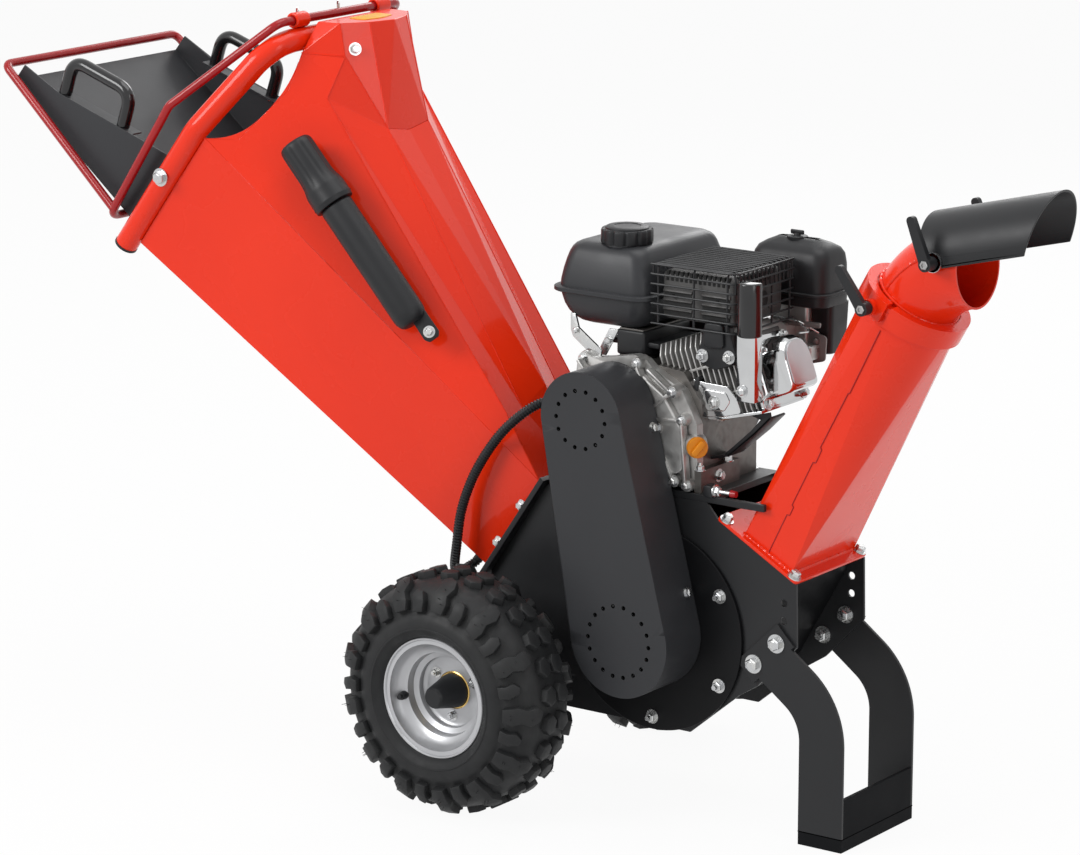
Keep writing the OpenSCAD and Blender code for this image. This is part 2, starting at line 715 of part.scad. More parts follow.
module muffler_guard() {
    a = guard_box[0];
    b = guard_box[1];
    w = guard_wire;
    level = (b[2] - a[2] - w) / guard_levels;
    step = (b[0] - a[0] - w) / guard_bars;
    color(black) placed() {
        for (i = [0 : guard_levels]) {
            block([a[0], a[1], a[2] + i * level], [b[0], a[1] + w, a[2] + i * level + w]);
            block([b[0] - w, a[1], a[2] + i * level], [b[0], b[1], a[2] + i * level + w]);
        }
        for (i = [0 : guard_bars])
            block([a[0] + i * step, a[1], b[2] - w], [a[0] + i * step + w, b[1], b[2]]);
        for (x = [a[0], a[0] + 5 * step, a[0] + 11 * step, b[0] - w])
            block([x, a[1], a[2]], [x + w, a[1] + w, b[2]]);
        block([b[0] - w, b[1] - w, a[2]], [b[0], b[1], b[2]]);
        block([a[0], b[1] - w, a[2]], [a[0] + w, b[1], b[2]]);
        block([a[0], b[1] - w, b[2] - w], [b[0], b[1], b[2]]);
        for (x = [250, 320]) block([x, a[1] + w - 1, 752], [x + 8, muffler_box[0][1], 756]);
    }
}
module air_cleaner() {
    a = cleaner_box[0];
    b = cleaner_box[1];
    mid = [(a[0] + b[0]) / 2, (a[1] + b[1]) / 2];
    color(black) placed() {
        round_block(a, b, 12);
        translate([mid[0], mid[1], b[2] - 1]) cylinder(h = 9, d = 22);
        block([mid[0] - 16, mid[1] - 3, b[2] + 7], [mid[0] + 16, mid[1] + 3, b[2] + 16]);
    }
}
module carburettor() {
    color([0.6, 0.6, 0.6]) placed() {
        block([300, fin_y, 672], [352, 96, 704]);
        block([300, 96, 672], [372, 136, cleaner_box[0][2]]);
        translate([334, 116, 648]) cylinder(h = 25, d = 38);
        block([372, 98, 660], [380, 146, cleaner_box[0][2]]);
    }
}

// Hopper, as folded sheets that meet along their seams

throat_line_low = [throat_top[0], roof_line_low[1], throat_top[2]];
throat_ridge = [throat_top[0], 0, throat_top[2]];
side_points = [mouth_bottom, mouth_crease, throat_bottom, throat_top, roof_fold, roof_line_low, roof_edge_top,
    head_base, head_seam, side_top, head_side, head_corner, throat_line_low, hole_low, hole_mid, head_back];
m0 = 0;
m1 = 1;
t0 = 2;
t1 = 3;
f2 = 4;
f3 = 5;
u2 = 6;
eb = 7;
s0 = 8;
u1 = 9;
h1 = 10;
et = 11;
g3 = 12;
ha = 13;
hb = 14;
h0 = 15;
side_count = len(side_points);
r0 = 2 * side_count;
r1 = r0 + 1;
r2 = r0 + 2;
gr = r0 + 3;
hopper_points = concat([for (p = side_points) near(p)], [for (p = side_points) far(p)],
    [ridge_high, ridge_low, head_ridge, throat_ridge]);
function other(i) = i < side_count ? i + side_count : i;
function mirrored(faces) = [for (f = faces) [for (i = [len(f) - 1 : -1 : 0]) other(f[i])]];
side_faces = [[m0, m1, t1], [m0, t1, t0], [m1, ha, t1], [ha, f2, t1], [ha, u2, f2], [ha, hb, u2], [hb, s0, u2],
    [hb, u1, s0]];
half_roof = [[s0, eb, u2], [u2, eb, f3], [u2, f3, f2], [eb, r0, r1], [eb, r1, f3], [f2, f3, g3], [f2, g3, t1],
    [f3, r1, gr], [f3, gr, g3]];
half_head = [[u1, h0, h1], [u1, h1, s0], [s0, h1, et], [s0, et, eb], [eb, et, r2], [eb, r2, r0]];
floor_faces = [[m0, t0, other(t0), other(m0)]];
roof_faces = concat(half_roof, mirrored(half_roof));
head_faces = concat(half_head, mirrored(half_head), [[r2, et, h1], [r2, h1, h0], [r2, h0, other(h0)],
    [r2, other(h0), other(h1)], [r2, other(h1), other(et)]]);
all_faces = concat(side_faces, mirrored(side_faces), roof_faces, head_faces, floor_faces);
hopper_inner = sheet_inner(hopper_points, all_faces, sheet_t);
module hopper_sheet(faces) color(red) placed() thick_sheet(hopper_points, hopper_inner, faces);
module hopper_side_left() hopper_sheet(side_faces);
module hopper_side_right() hopper_sheet(mirrored(side_faces));
module hopper_floor() hopper_sheet(floor_faces);
module hopper_roof() hopper_sheet(roof_faces);
module hopper_head() hopper_sheet(head_faces);

// Tube round the mouth, closed by caps at its two lower ends
tube_half = [tube_bottom, tube_kink, tube_bend_low, tube_bend_mid, tube_bend_end];
tube_points = concat([for (p = tube_half) near(p)], [for (i = [len(tube_half) - 1 : -1 : 0]) far(tube_half[i])]);
hinge_pin_d = 2 * tray_pin_r;
plug_len = 22;
module mouth_tube() {
    color(red) placed() difference() {
        bent_rod(tube_points, tube_d);
        for (s = [near(tube_bottom), far(tube_bottom)])
            rod(s - 5 * tube_dir, s + (plug_len + 8) * tube_dir, tube_d - 2 * tube_wall);
        across(hinge, -mouth_half - 40, mouth_half + 40, hinge_pin_d);
    }
}
gland_d = 24;
module gland(a, b) difference() {
    rod(a, b, gland_d);
    rod(a - 0.2 * (b - a), b + 0.2 * (b - a), hose_d + 2 * seat);
}
module plastic_fittings() {
    n = len(hose_route) - 1;
    color(black) placed() {
        for (s = [near(tube_bottom), far(tube_bottom)]) {
            rod(s - 4 * tube_dir, s, tube_d + 1);
            rod(s - 1 * tube_dir, s + plug_len * tube_dir, tube_d - 2 * tube_wall);
        }
        gland(hose_route[0], hose_route[1]);
        gland(hose_route[n - 1], hose_route[n]);
    }
}
module bar_sleeves() {
    color(red) placed() for (s = [-1, 1]) difference() {
        across(bar_axis, s * sleeve_y - sleeve_len / 2, s * sleeve_y + sleeve_len / 2,
               stop_bar_d + 2 * sleeve_wall);
        across(bar_axis, s * sleeve_y - sleeve_len, s * sleeve_y + sleeve_len, stop_bar_d + 2 * run_fit);
    }
}
bar_half = [bar_corner, bar_kink, bar_bottom];
bar_points = concat([for (p = bar_half) near(p)], [for (i = [2 : -1 : 0]) far(bar_half[i])], [near(bar_corner)]);
rail_points = [near(rail_low), near(rail_corner), far(rail_corner), far(rail_low)];
module stop_bar() {
    color(dark_red) placed() {
        bent_rod(bar_points, stop_bar_d);
        translate(near(bar_corner)) sphere(d = stop_bar_d);
        bent_rod(rail_points, stop_bar_d);
    }
}

// Tool tube on the near side of the hopper, with a push-on cap
tool_off = tool_tube_d / 2 + 18;
tool_top = near(on_side(-343, 926)) - [0, tool_off, 0];
tool_end = near(on_side(-141, 679)) - [0, tool_off, 0];
tool_len = norm(tool_end - tool_top);
tool_dir = (tool_end - tool_top) / tool_len;
tool_cap_len = 110;
tool_spigot = 55;
tool_wall = 3;
module on_tool() {
    translate(tool_top) rotate([0, acos(tool_dir[2]), atan2(tool_dir[1], tool_dir[0])]) children();
}
side_out = unit([side_normal[0], -side_normal[1], side_normal[2]] * (side_normal[1] > 0 ? 1 : -1));
function tool_gap(p) = (-p[1] - side_y(p[0], p[2])) * abs(side_out[1]);
lug_places = [150, 300];
module tool_tube() {
    color(black) placed() {
        on_tool() rotate_extrude() difference() {
            union() {
                translate([0, tool_cap_len + clear]) square([tool_tube_d / 2, tool_len - tool_cap_len - clear]);
                translate([0, tool_cap_len - tool_spigot]) square([tool_tube_d / 2 - 2, tool_spigot + 2]);
            }
            translate([-1, tool_cap_len - tool_spigot - 1])
                square([tool_tube_d / 2 - 1 - tool_wall, tool_len - tool_cap_len + tool_spigot - tool_wall]);
        }
        for (s = lug_places) {
            p = tool_top + s * tool_dir;
            rod(p - (tool_tube_d / 2 - 1.5) * side_out, p - (tool_gap(p) - seat) * side_out, 18);
        }
    }
}
module tool_tube_cap() {
    color(black) placed() on_tool() rotate_extrude() difference() {
        union() {
            square([tool_tube_d / 2 + 1, tool_cap_len]);
            translate([0, tool_cap_len - 25]) square([tool_tube_d / 2 + 6, 25]);
        }
        translate([-1, tool_wall]) square([tool_tube_d / 2 - 1 + clear, tool_cap_len]);
    }
}

// Ribbed conduit from the engine to the hopper floor: rings along an even-spaced smooth route
function spline(p, q, r, s, t) = 0.5 * (2 * q + (r - p) * t + (2 * p - 5 * q + 4 * r - s) * t * t
    + (3 * q - p - 3 * r + s) * t * t * t);
function route_at(k, t) = spline(hose_route[max(k - 1, 0)], hose_route[k], hose_route[k + 1],
    hose_route[min(k + 2, len(hose_route) - 1)], t);
hose_dense = concat([for (k = [0 : len(hose_route) - 2], j = [0 : 11]) route_at(k, j / 12)],
    [hose_route[len(hose_route) - 1]]);
hose_travel = [for (i = 0, d = 0; i < len(hose_dense);
    d = d + (i + 1 < len(hose_dense) ? norm(hose_dense[i + 1] - hose_dense[i]) : 0), i = i + 1) d];
hose_len = hose_travel[len(hose_travel) - 1];
hose_table = [for (a = [0 : 2]) [for (i = [0 : len(hose_dense) - 1]) [hose_travel[i], hose_dense[i][a]]]];
function hose_at(d) = [for (a = [0 : 2]) lookup(d, hose_table[a])];
function hose_dir(d) = unit(hose_at(min(d + 1, hose_len)) - hose_at(max(d - 1, 0)));
function carry(n, d) = unit(n - (n * d) * d);
hose_rings = 2 * hose_ribs;
hose_step = hose_len / hose_rings;
hose_side = [for (i = 0, n = [0, 0, 1]; i <= hose_rings;
    i = i + 1, n = carry(n, hose_dir(min(i * hose_step, hose_len)))) n];
function ring(i, r) = let (d = i * hose_step, t = hose_dir(d), n = carry(hose_side[i], t), b = cross(t, n))
    [for (k = [0 : hose_sides - 1]) hose_at(d) + r * (cos(360 * k / hose_sides) * n + sin(360 * k / hose_sides) * b)];
bore_skip = 4;
hose_mids = [for (i = [0 : 2 : hose_rings]) hose_at(i * hose_step)];
hose_turn = ceil(2.5 * hose_d / (2 * hose_step));
hose_least_gap = min([for (i = [0 : len(hose_mids) - 1]) for (j = [i + hose_turn : 1 : len(hose_mids) - 1])
    norm(hose_mids[i] - hose_mids[j])]) - hose_d;
echo(hose_least_gap = hose_least_gap, hose_len = hose_len);
module conduit() {
    n = hose_sides;
    last = hose_rings;
    outer = [for (i = [0 : last]) each ring(i, (i % 2 == 0 ? hose_d : hose_root_d) / 2)];
    bore_rings = [for (i = [0 : bore_skip : last]) i];
    bore = [for (i = bore_rings) each ring(i, hose_bore_d / 2)];
    base = len(outer);
    rows = len(bore_rings) - 1;
    tube = [for (i = [0 : last - 1], k = [0 : n - 1]) each
        [[i * n + k, i * n + (k + 1) % n, (i + 1) * n + k],
         [i * n + (k + 1) % n, (i + 1) * n + (k + 1) % n, (i + 1) * n + k]]];
    inside = [for (i = [0 : rows - 1], k = [0 : n - 1]) each
        [[base + i * n + k, base + (i + 1) * n + k, base + i * n + (k + 1) % n],
         [base + i * n + (k + 1) % n, base + (i + 1) * n + k, base + (i + 1) * n + (k + 1) % n]]];
    first_end = [for (k = [0 : n - 1]) each
        [[k, base + k, (k + 1) % n], [(k + 1) % n, base + k, base + (k + 1) % n]]];
    last_end = [for (k = [0 : n - 1]) each
        [[last * n + k, last * n + (k + 1) % n, base + rows * n + k],
         [last * n + (k + 1) % n, base + rows * n + (k + 1) % n, base + rows * n + k]]];
    color(black) placed() polyhedron(concat(outer, bore), concat(tube, inside, first_end, last_end));
}

// Feed tray on its hinge, with a grip on each wing

module on_tray() translate([tray_outer[0], 0, tray_outer[1]]) rotate([0, tray_slope, 0]) children();
wing_angle = atan2(wing_outline[3][1] - wing_outline[2][1], wing_outline[3][0] - wing_outline[2][0]);
module on_wing() {
    on_tray() translate([wing_outline[2][0], 0, wing_outline[2][1]]) rotate([0, -wing_angle, 0]) children();
}
hinge_off = hinge - tray_outer;
hinge_local = [hinge_off[0] * cos(tray_slope) - hinge_off[1] * sin(tray_slope),
               hinge_off[0] * sin(tray_slope) + hinge_off[1] * cos(tray_slope)];
grip_foot = [4, 124];
grip_h = 55;
fold_w = 26;
fold_drop = 0.6;
module tray() {
    color(black) placed() {
        on_tray() {
            block([0, -tray_half, -tray_t], [tray_len, tray_half, 0]);
            for (s = [-1, 1]) difference() {
                side_view(s > 0 ? tray_half - tray_t : -tray_half, s > 0 ? tray_half : -tray_half + tray_t)
                    polygon(wing_outline);
                across(hinge_local, -tray_half - 1, tray_half + 1, hinge_pin_d + 2 * run_fit);
            }
        }
        on_wing() for (s = [-1, 1])
            block([-12, s > 0 ? tray_half - fold_w : tray_t / 2 - tray_half, -tray_t - fold_drop],
                  [150, s > 0 ? tray_half - tray_t / 2 : -tray_half + fold_w, -fold_drop]);
    }
}
module tray_grips() {
    a = grip_foot[0];
    b = grip_foot[1];
    color(black) placed() on_wing() for (s = [-1, 1]) {
        y = s * (tray_half - grip_d / 2 - 2);
        bent_rod([[a, y, -fold_drop], [a, y, grip_h - 17], [a + 17, y, grip_h], [b - 17, y, grip_h],
                  [b, y, grip_h - 17], [b, y, -fold_drop]], grip_d);
    }
}

// Front stand

leg_mid_r = leg_turn_r + leg_w / 2;
leg_sweep = 53.4;
module leg_2d() {
    turn = [leg_x - leg_turn_r, leg_turn_z];
    slope = [-sin(leg_sweep), cos(leg_sweep)];
    out = [cos(leg_sweep), sin(leg_sweep)];
    end = (leg_bolt_high + leg_bolt_low) / 2;
    along = (leg_bolt_high - leg_bolt_low) / norm(leg_bolt_high - leg_bolt_low);
    side = [-along[1], along[0]];
    difference() {
        union() {
            translate([leg_x, foot_h]) square([leg_w, leg_turn_z - foot_h]);
            intersection() {
                translate(turn) difference() {
                    circle(leg_turn_r + leg_w);
                    circle(leg_turn_r);
                }
                translate(turn) polygon([[0, 0], [200, 0], [200, 200 * tan(leg_sweep)]]);
            }
            polygon([turn + leg_turn_r * out, turn + (leg_turn_r + leg_w) * out,
                     turn + (leg_turn_r + leg_w) * out + 72 * slope, turn + leg_turn_r * out + 72 * slope]);
            polygon([end + 46 * along + 20 * side, end + 46 * along - 20 * side,
                     end - 46 * along - 20 * side, end - 46 * along + 20 * side]);
        }
        translate(rotor) circle(bearing_plate_r + 1);
    }
}
module stand_legs() {
    color(black) placed() {
        side_view(-half_w - leg_t, -half_w) leg_2d();
        side_view(half_w, half_w + leg_t) leg_2d();
    }
}
cross_h = 57;
module stand_foot() {
    color(black) placed() {
        block([leg_x, -half_w - leg_t, 0], [leg_x + leg_w, half_w + leg_t, foot_h]);
        block([leg_x + leg_w - 6, -half_w, foot_h], [leg_x + leg_w, half_w, foot_h + cross_h]);
    }
}

// Discharge: chute, clamp collar, swivelling elbow and deflector

module on_flange() translate(flange_mid) rotate([0, chute_tilt, 0]) children();
module duct_rect(grow, z, h) {
    translate([duct_mid - duct_len / 2 - grow, -duct_w / 2 - grow, z]) cube([duct_len + 2 * grow, duct_w + 2 * grow, h]);
}
module duct_round(d, z, h) translate([neck_x, 0, z]) cylinder(h = h, d = d);
chute_blend = chute_h - 12;
module chute() {
    color(red) placed() on_flange() difference() {
        union() {
            block([-flange_len / 2, -flange_w / 2, 0], [flange_len / 2, flange_w / 2, flange_plate_t]);
            hull() {
                duct_rect(0, flange_plate_t, 1);
                duct_round(neck_d - 1.2, chute_blend - 1, 1);
            }
            duct_round(neck_d, chute_blend - 6, chute_h + rim_ring_t - chute_blend + 6);
            duct_round(rim_ring_d, chute_h, rim_ring_t);
        }
        hull() {
            duct_rect(-duct_t, -1, 1);
            duct_round(neck_d - 2 * duct_t - 1.2, chute_blend - 1, 2);
        }
        duct_round(neck_d - 2 * duct_t, chute_blend - 6, chute_h);
    }
}
collar_z = [chute_h - collar_reach, elbow_base + clear + collar_lip];
lever_boss = [66, 84];
module collar() {
    color(red) placed() on_flange() difference() {
        union() {
            translate([neck_x, 0, 0]) rotate_extrude() difference() {
                translate([0, collar_z[0]]) square([collar_d / 2, collar_z[1] - collar_z[0]]);
                translate([-1, collar_z[0] - 1]) square([neck_d / 2 + 1, 100]);
                translate([-1, chute_h]) square([rim_ring_d / 2 + clear + 1, 2 * rim_ring_t + 2 * clear]);
            }
            translate([neck_x, 0, 0]) rotate_extrude()
                translate([elbow_d / 2 + 4, elbow_base + clear]) square([collar_d / 2 - elbow_d / 2 - 4, collar_lip]);
            across(lever_at, -lever_boss[1], -lever_boss[0], 22);
        }
        duct_round(neck_d + 2 * seat, collar_z[0] - 1, collar_reach + 2);
        translate([neck_x, 0, 0]) rotate_extrude()
            translate([0, chute_h]) square([rim_ring_d / 2 + clear, 2 * rim_ring_t + 2 * clear]);
        block([neck_x - 4, -collar_d, collar_z[0] - 1], [neck_x + 4, -elbow_d / 2, collar_z[1] + 1]);
        across(lever_at, -lever_boss[1] - 1, -lever_boss[0] - 6, lever_pin_d);
    }
}

// A clamp lever: a round hub on its pin and an arm
lever_hub_d = 19;
module clamp_lever(at, tip, y0, y1, s) {
    a = s > 0 ? y0 : -y1;
    b = s > 0 ? y1 : -y0;
    color(black) placed() difference() {
        union() {
            across(at, a, b, lever_hub_d);
            side_view(s > 0 ? b - 9 : a, s > 0 ? b : a + 9) belt_outline(at, 8, tip, 6);
        }
        across(at, s > 0 ? a - 1 : a + 6, s > 0 ? b - 6 : b + 1, lever_pin_d + 2 * run_fit);
    }
}
lever_dir = [-0.37, 0.93];
collar_lever_dir = [-0.58, 0.815];
hub_y = [70, 90];
module deflector_lever_left() clamp_lever(pivot, pivot + lever_len * lever_dir, hub_y[0], hub_y[1], -1);
module deflector_lever_right() clamp_lever(pivot, pivot + lever_len * lever_dir, hub_y[0], hub_y[1], 1);
module collar_lever() {
    clamp_lever(lever_world, lever_world + lever_len * collar_lever_dir, lever_boss[1] + clear, lever_boss[1] + 16, -1);
}
visor_in = deflector_r - duct_t;
boss_d = 20;
boss_end = sqrt(visor_in * visor_in - boss_d * boss_d / 4) - clear;
pin_end = hub_y[1] - 6.5;
// The elbow's bend, cut from a full ring between its base and its outlet, over degrees further
module bend(d, over) {
    low = 180 + over;
    high = 180 - elbow_angle - over;
    reach = 2 * elbow_bend;
    translate([bend_mid[0], 0, bend_mid[1]]) intersection() {
        rotate([90, 0, 0]) rotate_extrude() translate([elbow_bend, 0]) circle(d = d);
        side_view(-d, d) polygon([[0, 0], reach * [cos(high), sin(high)],
                                  reach * [cos(150), sin(150)], reach * [cos(low), sin(low)]]);
    }
}
module elbow() {
    color(red) placed() {
        difference() {
            union() {
                on_flange() {
                    duct_round(rim_ring_d, chute_h + rim_ring_t + clear, rim_ring_t);
                    bend(elbow_d, 0);
                }
                for (s = [-1, 1]) {
                    across(pivot, s > 0 ? 40 : -boss_end, s > 0 ? boss_end : -40, boss_d);
                    across(pivot, s > 0 ? 40 : -pin_end, s > 0 ? pin_end : -40, lever_pin_d);
                    across(pivot, s > 0 ? deflector_r + clear : -hub_y[0] + clear,
                           s > 0 ? hub_y[0] - clear : -deflector_r - clear, 26);
                }
            }
            on_flange() {
                duct_round(elbow_d - 2 * duct_t, chute_h, 2 * rim_ring_t + clear);
                bend(elbow_d - 2 * duct_t, 2);
            }
        }
    }
}
module deflector() {
    color(black) placed() translate([pivot[0], 0, pivot[1]]) rotate([0, -deflector_tilt, 0]) intersection() {
        difference() {
            translate([-visor_back - 1, 0, 0]) rotate([0, 90, 0])
                cylinder(h = deflector_len + visor_back + 1, r = deflector_r);
            translate([-visor_back - 2, 0, 0]) rotate([0, 90, 0])
                cylinder(h = deflector_len + visor_back + 4, r = visor_in);
            across([0, 0], -deflector_r - 1, deflector_r + 1, lever_pin_d + 2 * run_fit);
        }
        side_view(-deflector_r - 1, deflector_r + 1)
            polygon([[-visor_back, 14], [-visor_back + 12, -visor_low], [deflector_len - visor_cut, -visor_low],
                     [deflector_len, deflector_r], [deflector_len, deflector_r + 1],
                     [-visor_back, deflector_r + 1]]);
    }
}

// Wheels

module wheel_place(s) translate([0, s * track / 2, axle_z]) rotate([-90 * s, 0, 0]) children();
module tyre_2d() {
    r = tyre_d / 2;
    w = tyre_w / 2;
    bead = rim_d / 2 - 7 + seat;
    seat_w = rim_w / 2 - 3 - seat;
    crown = 50;
    difference() {
        union() {
            polygon([[bead, -seat_w], [bead, seat_w], [bead + 8, seat_w], [bead + 12, w - 8], [bead + 22, w],
                     [r - crown, w], [r - crown, -w], [bead + 22, -w], [bead + 12, 8 - w], [bead + 8, -seat_w]]);
            translate([r - crown, crown - w]) circle(crown);
            translate([r - crown, w - crown]) circle(crown);
            translate([r - crown, crown - w]) square([crown, tyre_w - 2 * crown]);
        }
        polygon([[bead - 60, -40], [bead - 60, 40], [bead + 20, w - 14], [r - crown, w - 14],
                 [r - 24, 18], [r - 24, -18], [r - crown, 14 - w], [bead + 20, 14 - w]]);
    }
}
module tread_2d(turn) {
    r = tyre_d / 2;
    half_lug = 0.28 * 360 / lug_count;
    circle(r - lug_h);
    for (i = [0 : lug_count - 1]) rotate(turn + 360 * i / lug_count)
        polygon([[r - lug_h - 6, -r * sin(half_lug)], [r + 5, -0.92 * r * sin(half_lug)],
                 [r + 5, 0.92 * r * sin(half_lug)], [r - lug_h - 6, r * sin(half_lug)]]);
}
module tyre(s) {
    color(rubber) placed() wheel_place(s) intersection() {
        rotate_extrude() tyre_2d();
        union() {
            translate([0, 0, -tyre_w]) linear_extrude(tyre_w + 0.2) tread_2d(90);
            linear_extrude(tyre_w) tread_2d(90 + 180 / lug_count);
        }
    }
}
module tyre_left() tyre(-1);
module tyre_right() tyre(1);

// A rim, outward side up: two lips, a barrel, a stepped dish and the hub
hub_len = 40;
hub_d = 40;
hub_plate = 8;
module rim(s) {
    r = rim_d / 2;
    w = rim_w / 2;
    color(silver) placed() wheel_place(s) rotate_extrude() {
        translate([r - 10, -w]) square([3, rim_w]);
        translate([r - 10, w - 3]) square([10, 3]);
        translate([r - 10, -w]) square([10, 3]);
        translate([r - 31, 27]) square([22, 3]);
        translate([r - 31, 11]) square([3, 19]);
        translate([r - 46, 11]) square([16, 3]);
        translate([r - 46, hub_plate - 3]) square([3, 9]);
        translate([axle_d / 2 + run_fit, hub_plate - 3]) square([r - 44 - axle_d / 2 - run_fit, 3]);
        translate([axle_d / 2 + run_fit, -hub_len]) square([(hub_d - axle_d) / 2 - run_fit, hub_len + hub_plate]);
    }
}
module rim_left() rim(-1);
module rim_right() rim(1);
axle_end = track / 2 + 26;
module hub_cap(s) {
    color(black) placed() wheel_place(s) rotate_extrude() difference() {
        polygon([[0, hub_plate], [25, hub_plate], [25, hub_plate + 6], [16, rim_w / 2 - 4], [13, rim_w / 2],
                 [0, rim_w / 2]]);
        translate([-1, hub_plate - 1]) square([axle_d / 2 + 2, axle_end - track / 2 - hub_plate + 3]);
    }
}
module hub_cap_left() hub_cap(-1);
module hub_cap_right() hub_cap(1);
module axle() {
    color(zinc) placed() {
        across([0, axle_z], -axle_end, axle_end, axle_d);
        for (s = [-1, 1]) across([0, axle_z], s > 0 ? half_w : hub_len + clear - track / 2,
                                 s > 0 ? track / 2 - hub_len - clear : -half_w, axle_d + 12);
    }
}

// Bolt heads, nuts and the tray's hinge pins

cover_bolts = [[92, 30], [106, -4]];
module fasteners() {
    color(zinc) placed() {
        for (s = [-1, 1]) {
            for (i = s > 0 ? [0 : bearing_bolts - 1] : [0, 2, 3, 4, 5])
                bolt_head(rotor + bearing_bolt_r * [cos(60 * i + 30), sin(60 * i + 30)], s * bearing_face, s, 16, 6);
            for (p = [leg_bolt_high, leg_bolt_low]) bolt_head(p, s * (half_w + leg_t), s, 20, 8);
            across(hinge, s > 0 ? tray_half - 10 : -mouth_half - tube_r - 8,
                   s > 0 ? mouth_half + tube_r + 8 : 10 - tray_half, hinge_pin_d);
            across(hinge, s > 0 ? tray_half - 12 : tray_t + clear - tray_half,
                   s > 0 ? tray_half - tray_t - clear : 12 - tray_half, 22);
            across(hinge, s > 0 ? mouth_half + tube_r + 1 : -mouth_half - tube_r - 8,
                   s > 0 ? mouth_half + tube_r + 8 : -mouth_half - tube_r - 1, 22);
        }
        for (p = cover_bolts) bolt_head(crank + p, cover_face, -1, 13, 5);
        on_flange() for (x = [-1, 1], y = [-1, 1])
            translate([x * (flange_len / 2 - 11), y * (flange_w / 2 - 8), flange_plate_t]) cylinder(h = 7, d = 14, $fn = 6);
        for (z = [664, 700]) bolt_head([315, z], muffler_box[0][1] - 6, -1, 14, 6);
        translate([mount_foot_x, -42, deck_z + 18]) rotate([0, 90, 0]) cylinder(h = 6, d = 14, $fn = 6);
    }
}

housing_plate_left();
housing_plate_right();
housing_wrap();
feed_flange();
bearing_plates();
counter_knife();
engine_deck();
fasteners();
belt_cover_back();
belt_cover();
rotor_shaft();
rotor_drum();
rotor_pulley();
drive_belts();
crankshaft();
engine_pulley();
crankcase();
crankcase_cover();
engine_cylinder();
valve_cover();
blower_housing();
fuel_tank();
muffler();
muffler_guard();
air_cleaner();
carburettor();
starter_grip();
fuel_cap();
oil_cap();
throttle_lever();
hopper_side_left();
hopper_side_right();
hopper_floor();
hopper_roof();
hopper_head();
mouth_tube();
plastic_fittings();
bar_sleeves();
tool_tube();
tool_tube_cap();
conduit();
tray();
tray_grips();
stop_bar();
stand_legs();
stand_foot();
chute();
collar();
elbow();
deflector();
deflector_lever_left();
deflector_lever_right();
collar_lever();
axle();
tyre_left();
tyre_right();
rim_left();
rim_right();
hub_cap_left();
hub_cap_right();
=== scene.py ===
"""Looks of a petrol garden shredder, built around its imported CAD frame."""
import bmesh
import bpy
import json
import random
from math import atan2, cos, pi, radians, sin, tan
from mathutils import Matrix, Vector


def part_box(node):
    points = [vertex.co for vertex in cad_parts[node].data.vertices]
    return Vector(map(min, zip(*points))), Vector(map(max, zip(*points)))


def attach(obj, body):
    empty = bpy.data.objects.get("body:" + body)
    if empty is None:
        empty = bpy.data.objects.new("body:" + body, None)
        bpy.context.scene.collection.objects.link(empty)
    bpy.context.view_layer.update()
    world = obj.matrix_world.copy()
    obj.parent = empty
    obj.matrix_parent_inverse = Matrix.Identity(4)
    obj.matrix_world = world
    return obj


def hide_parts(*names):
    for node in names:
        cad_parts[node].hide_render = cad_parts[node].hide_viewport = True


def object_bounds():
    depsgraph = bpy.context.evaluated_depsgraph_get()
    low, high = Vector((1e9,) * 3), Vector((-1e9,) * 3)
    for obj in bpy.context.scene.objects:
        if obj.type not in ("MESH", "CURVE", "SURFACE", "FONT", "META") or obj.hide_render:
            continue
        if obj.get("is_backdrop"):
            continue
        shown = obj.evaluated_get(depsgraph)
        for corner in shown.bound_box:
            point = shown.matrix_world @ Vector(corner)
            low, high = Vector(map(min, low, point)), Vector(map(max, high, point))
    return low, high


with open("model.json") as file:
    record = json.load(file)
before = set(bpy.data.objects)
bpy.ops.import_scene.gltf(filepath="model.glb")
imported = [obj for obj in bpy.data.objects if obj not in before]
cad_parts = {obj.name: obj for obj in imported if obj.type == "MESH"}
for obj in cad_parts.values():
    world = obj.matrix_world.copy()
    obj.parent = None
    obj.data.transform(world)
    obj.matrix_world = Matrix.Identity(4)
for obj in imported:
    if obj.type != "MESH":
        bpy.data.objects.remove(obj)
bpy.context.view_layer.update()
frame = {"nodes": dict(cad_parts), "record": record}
scene = bpy.context.scene

# Lengths below are millimetres from the wheel axle's middle on the ground, as in the CAD source
MM = 0.001
axle_low, axle_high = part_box("axle")
TO_FRAME = Matrix.Translation(((axle_low.x + axle_high.x) / 2, 0, 0)) @ Matrix.Scale(MM, 4)
CRANK = Vector((173, 0, 586))
ROTOR = Vector((239, 0, 274))
NEAR = (0, -1, 0)
FAR = (0, 1, 0)
UP = (0, 0, 1)

# Camera
EYE = Vector((3551.9, -4965.0, 1979.5))
AIM = Vector((-20.88, -11.34, 514.37))
lens = bpy.data.cameras.new("camera")
lens.lens = 143.43
lens.sensor_width = 36
lens.clip_end = 100
camera = bpy.data.objects.new("camera", lens)
camera.location = TO_FRAME @ EYE
camera.rotation_euler = (AIM - EYE).to_track_quat("-Z", "Y").to_euler()
scene.collection.objects.link(camera)
scene.camera = camera
scene.view_settings.view_transform = "Standard"


# Materials

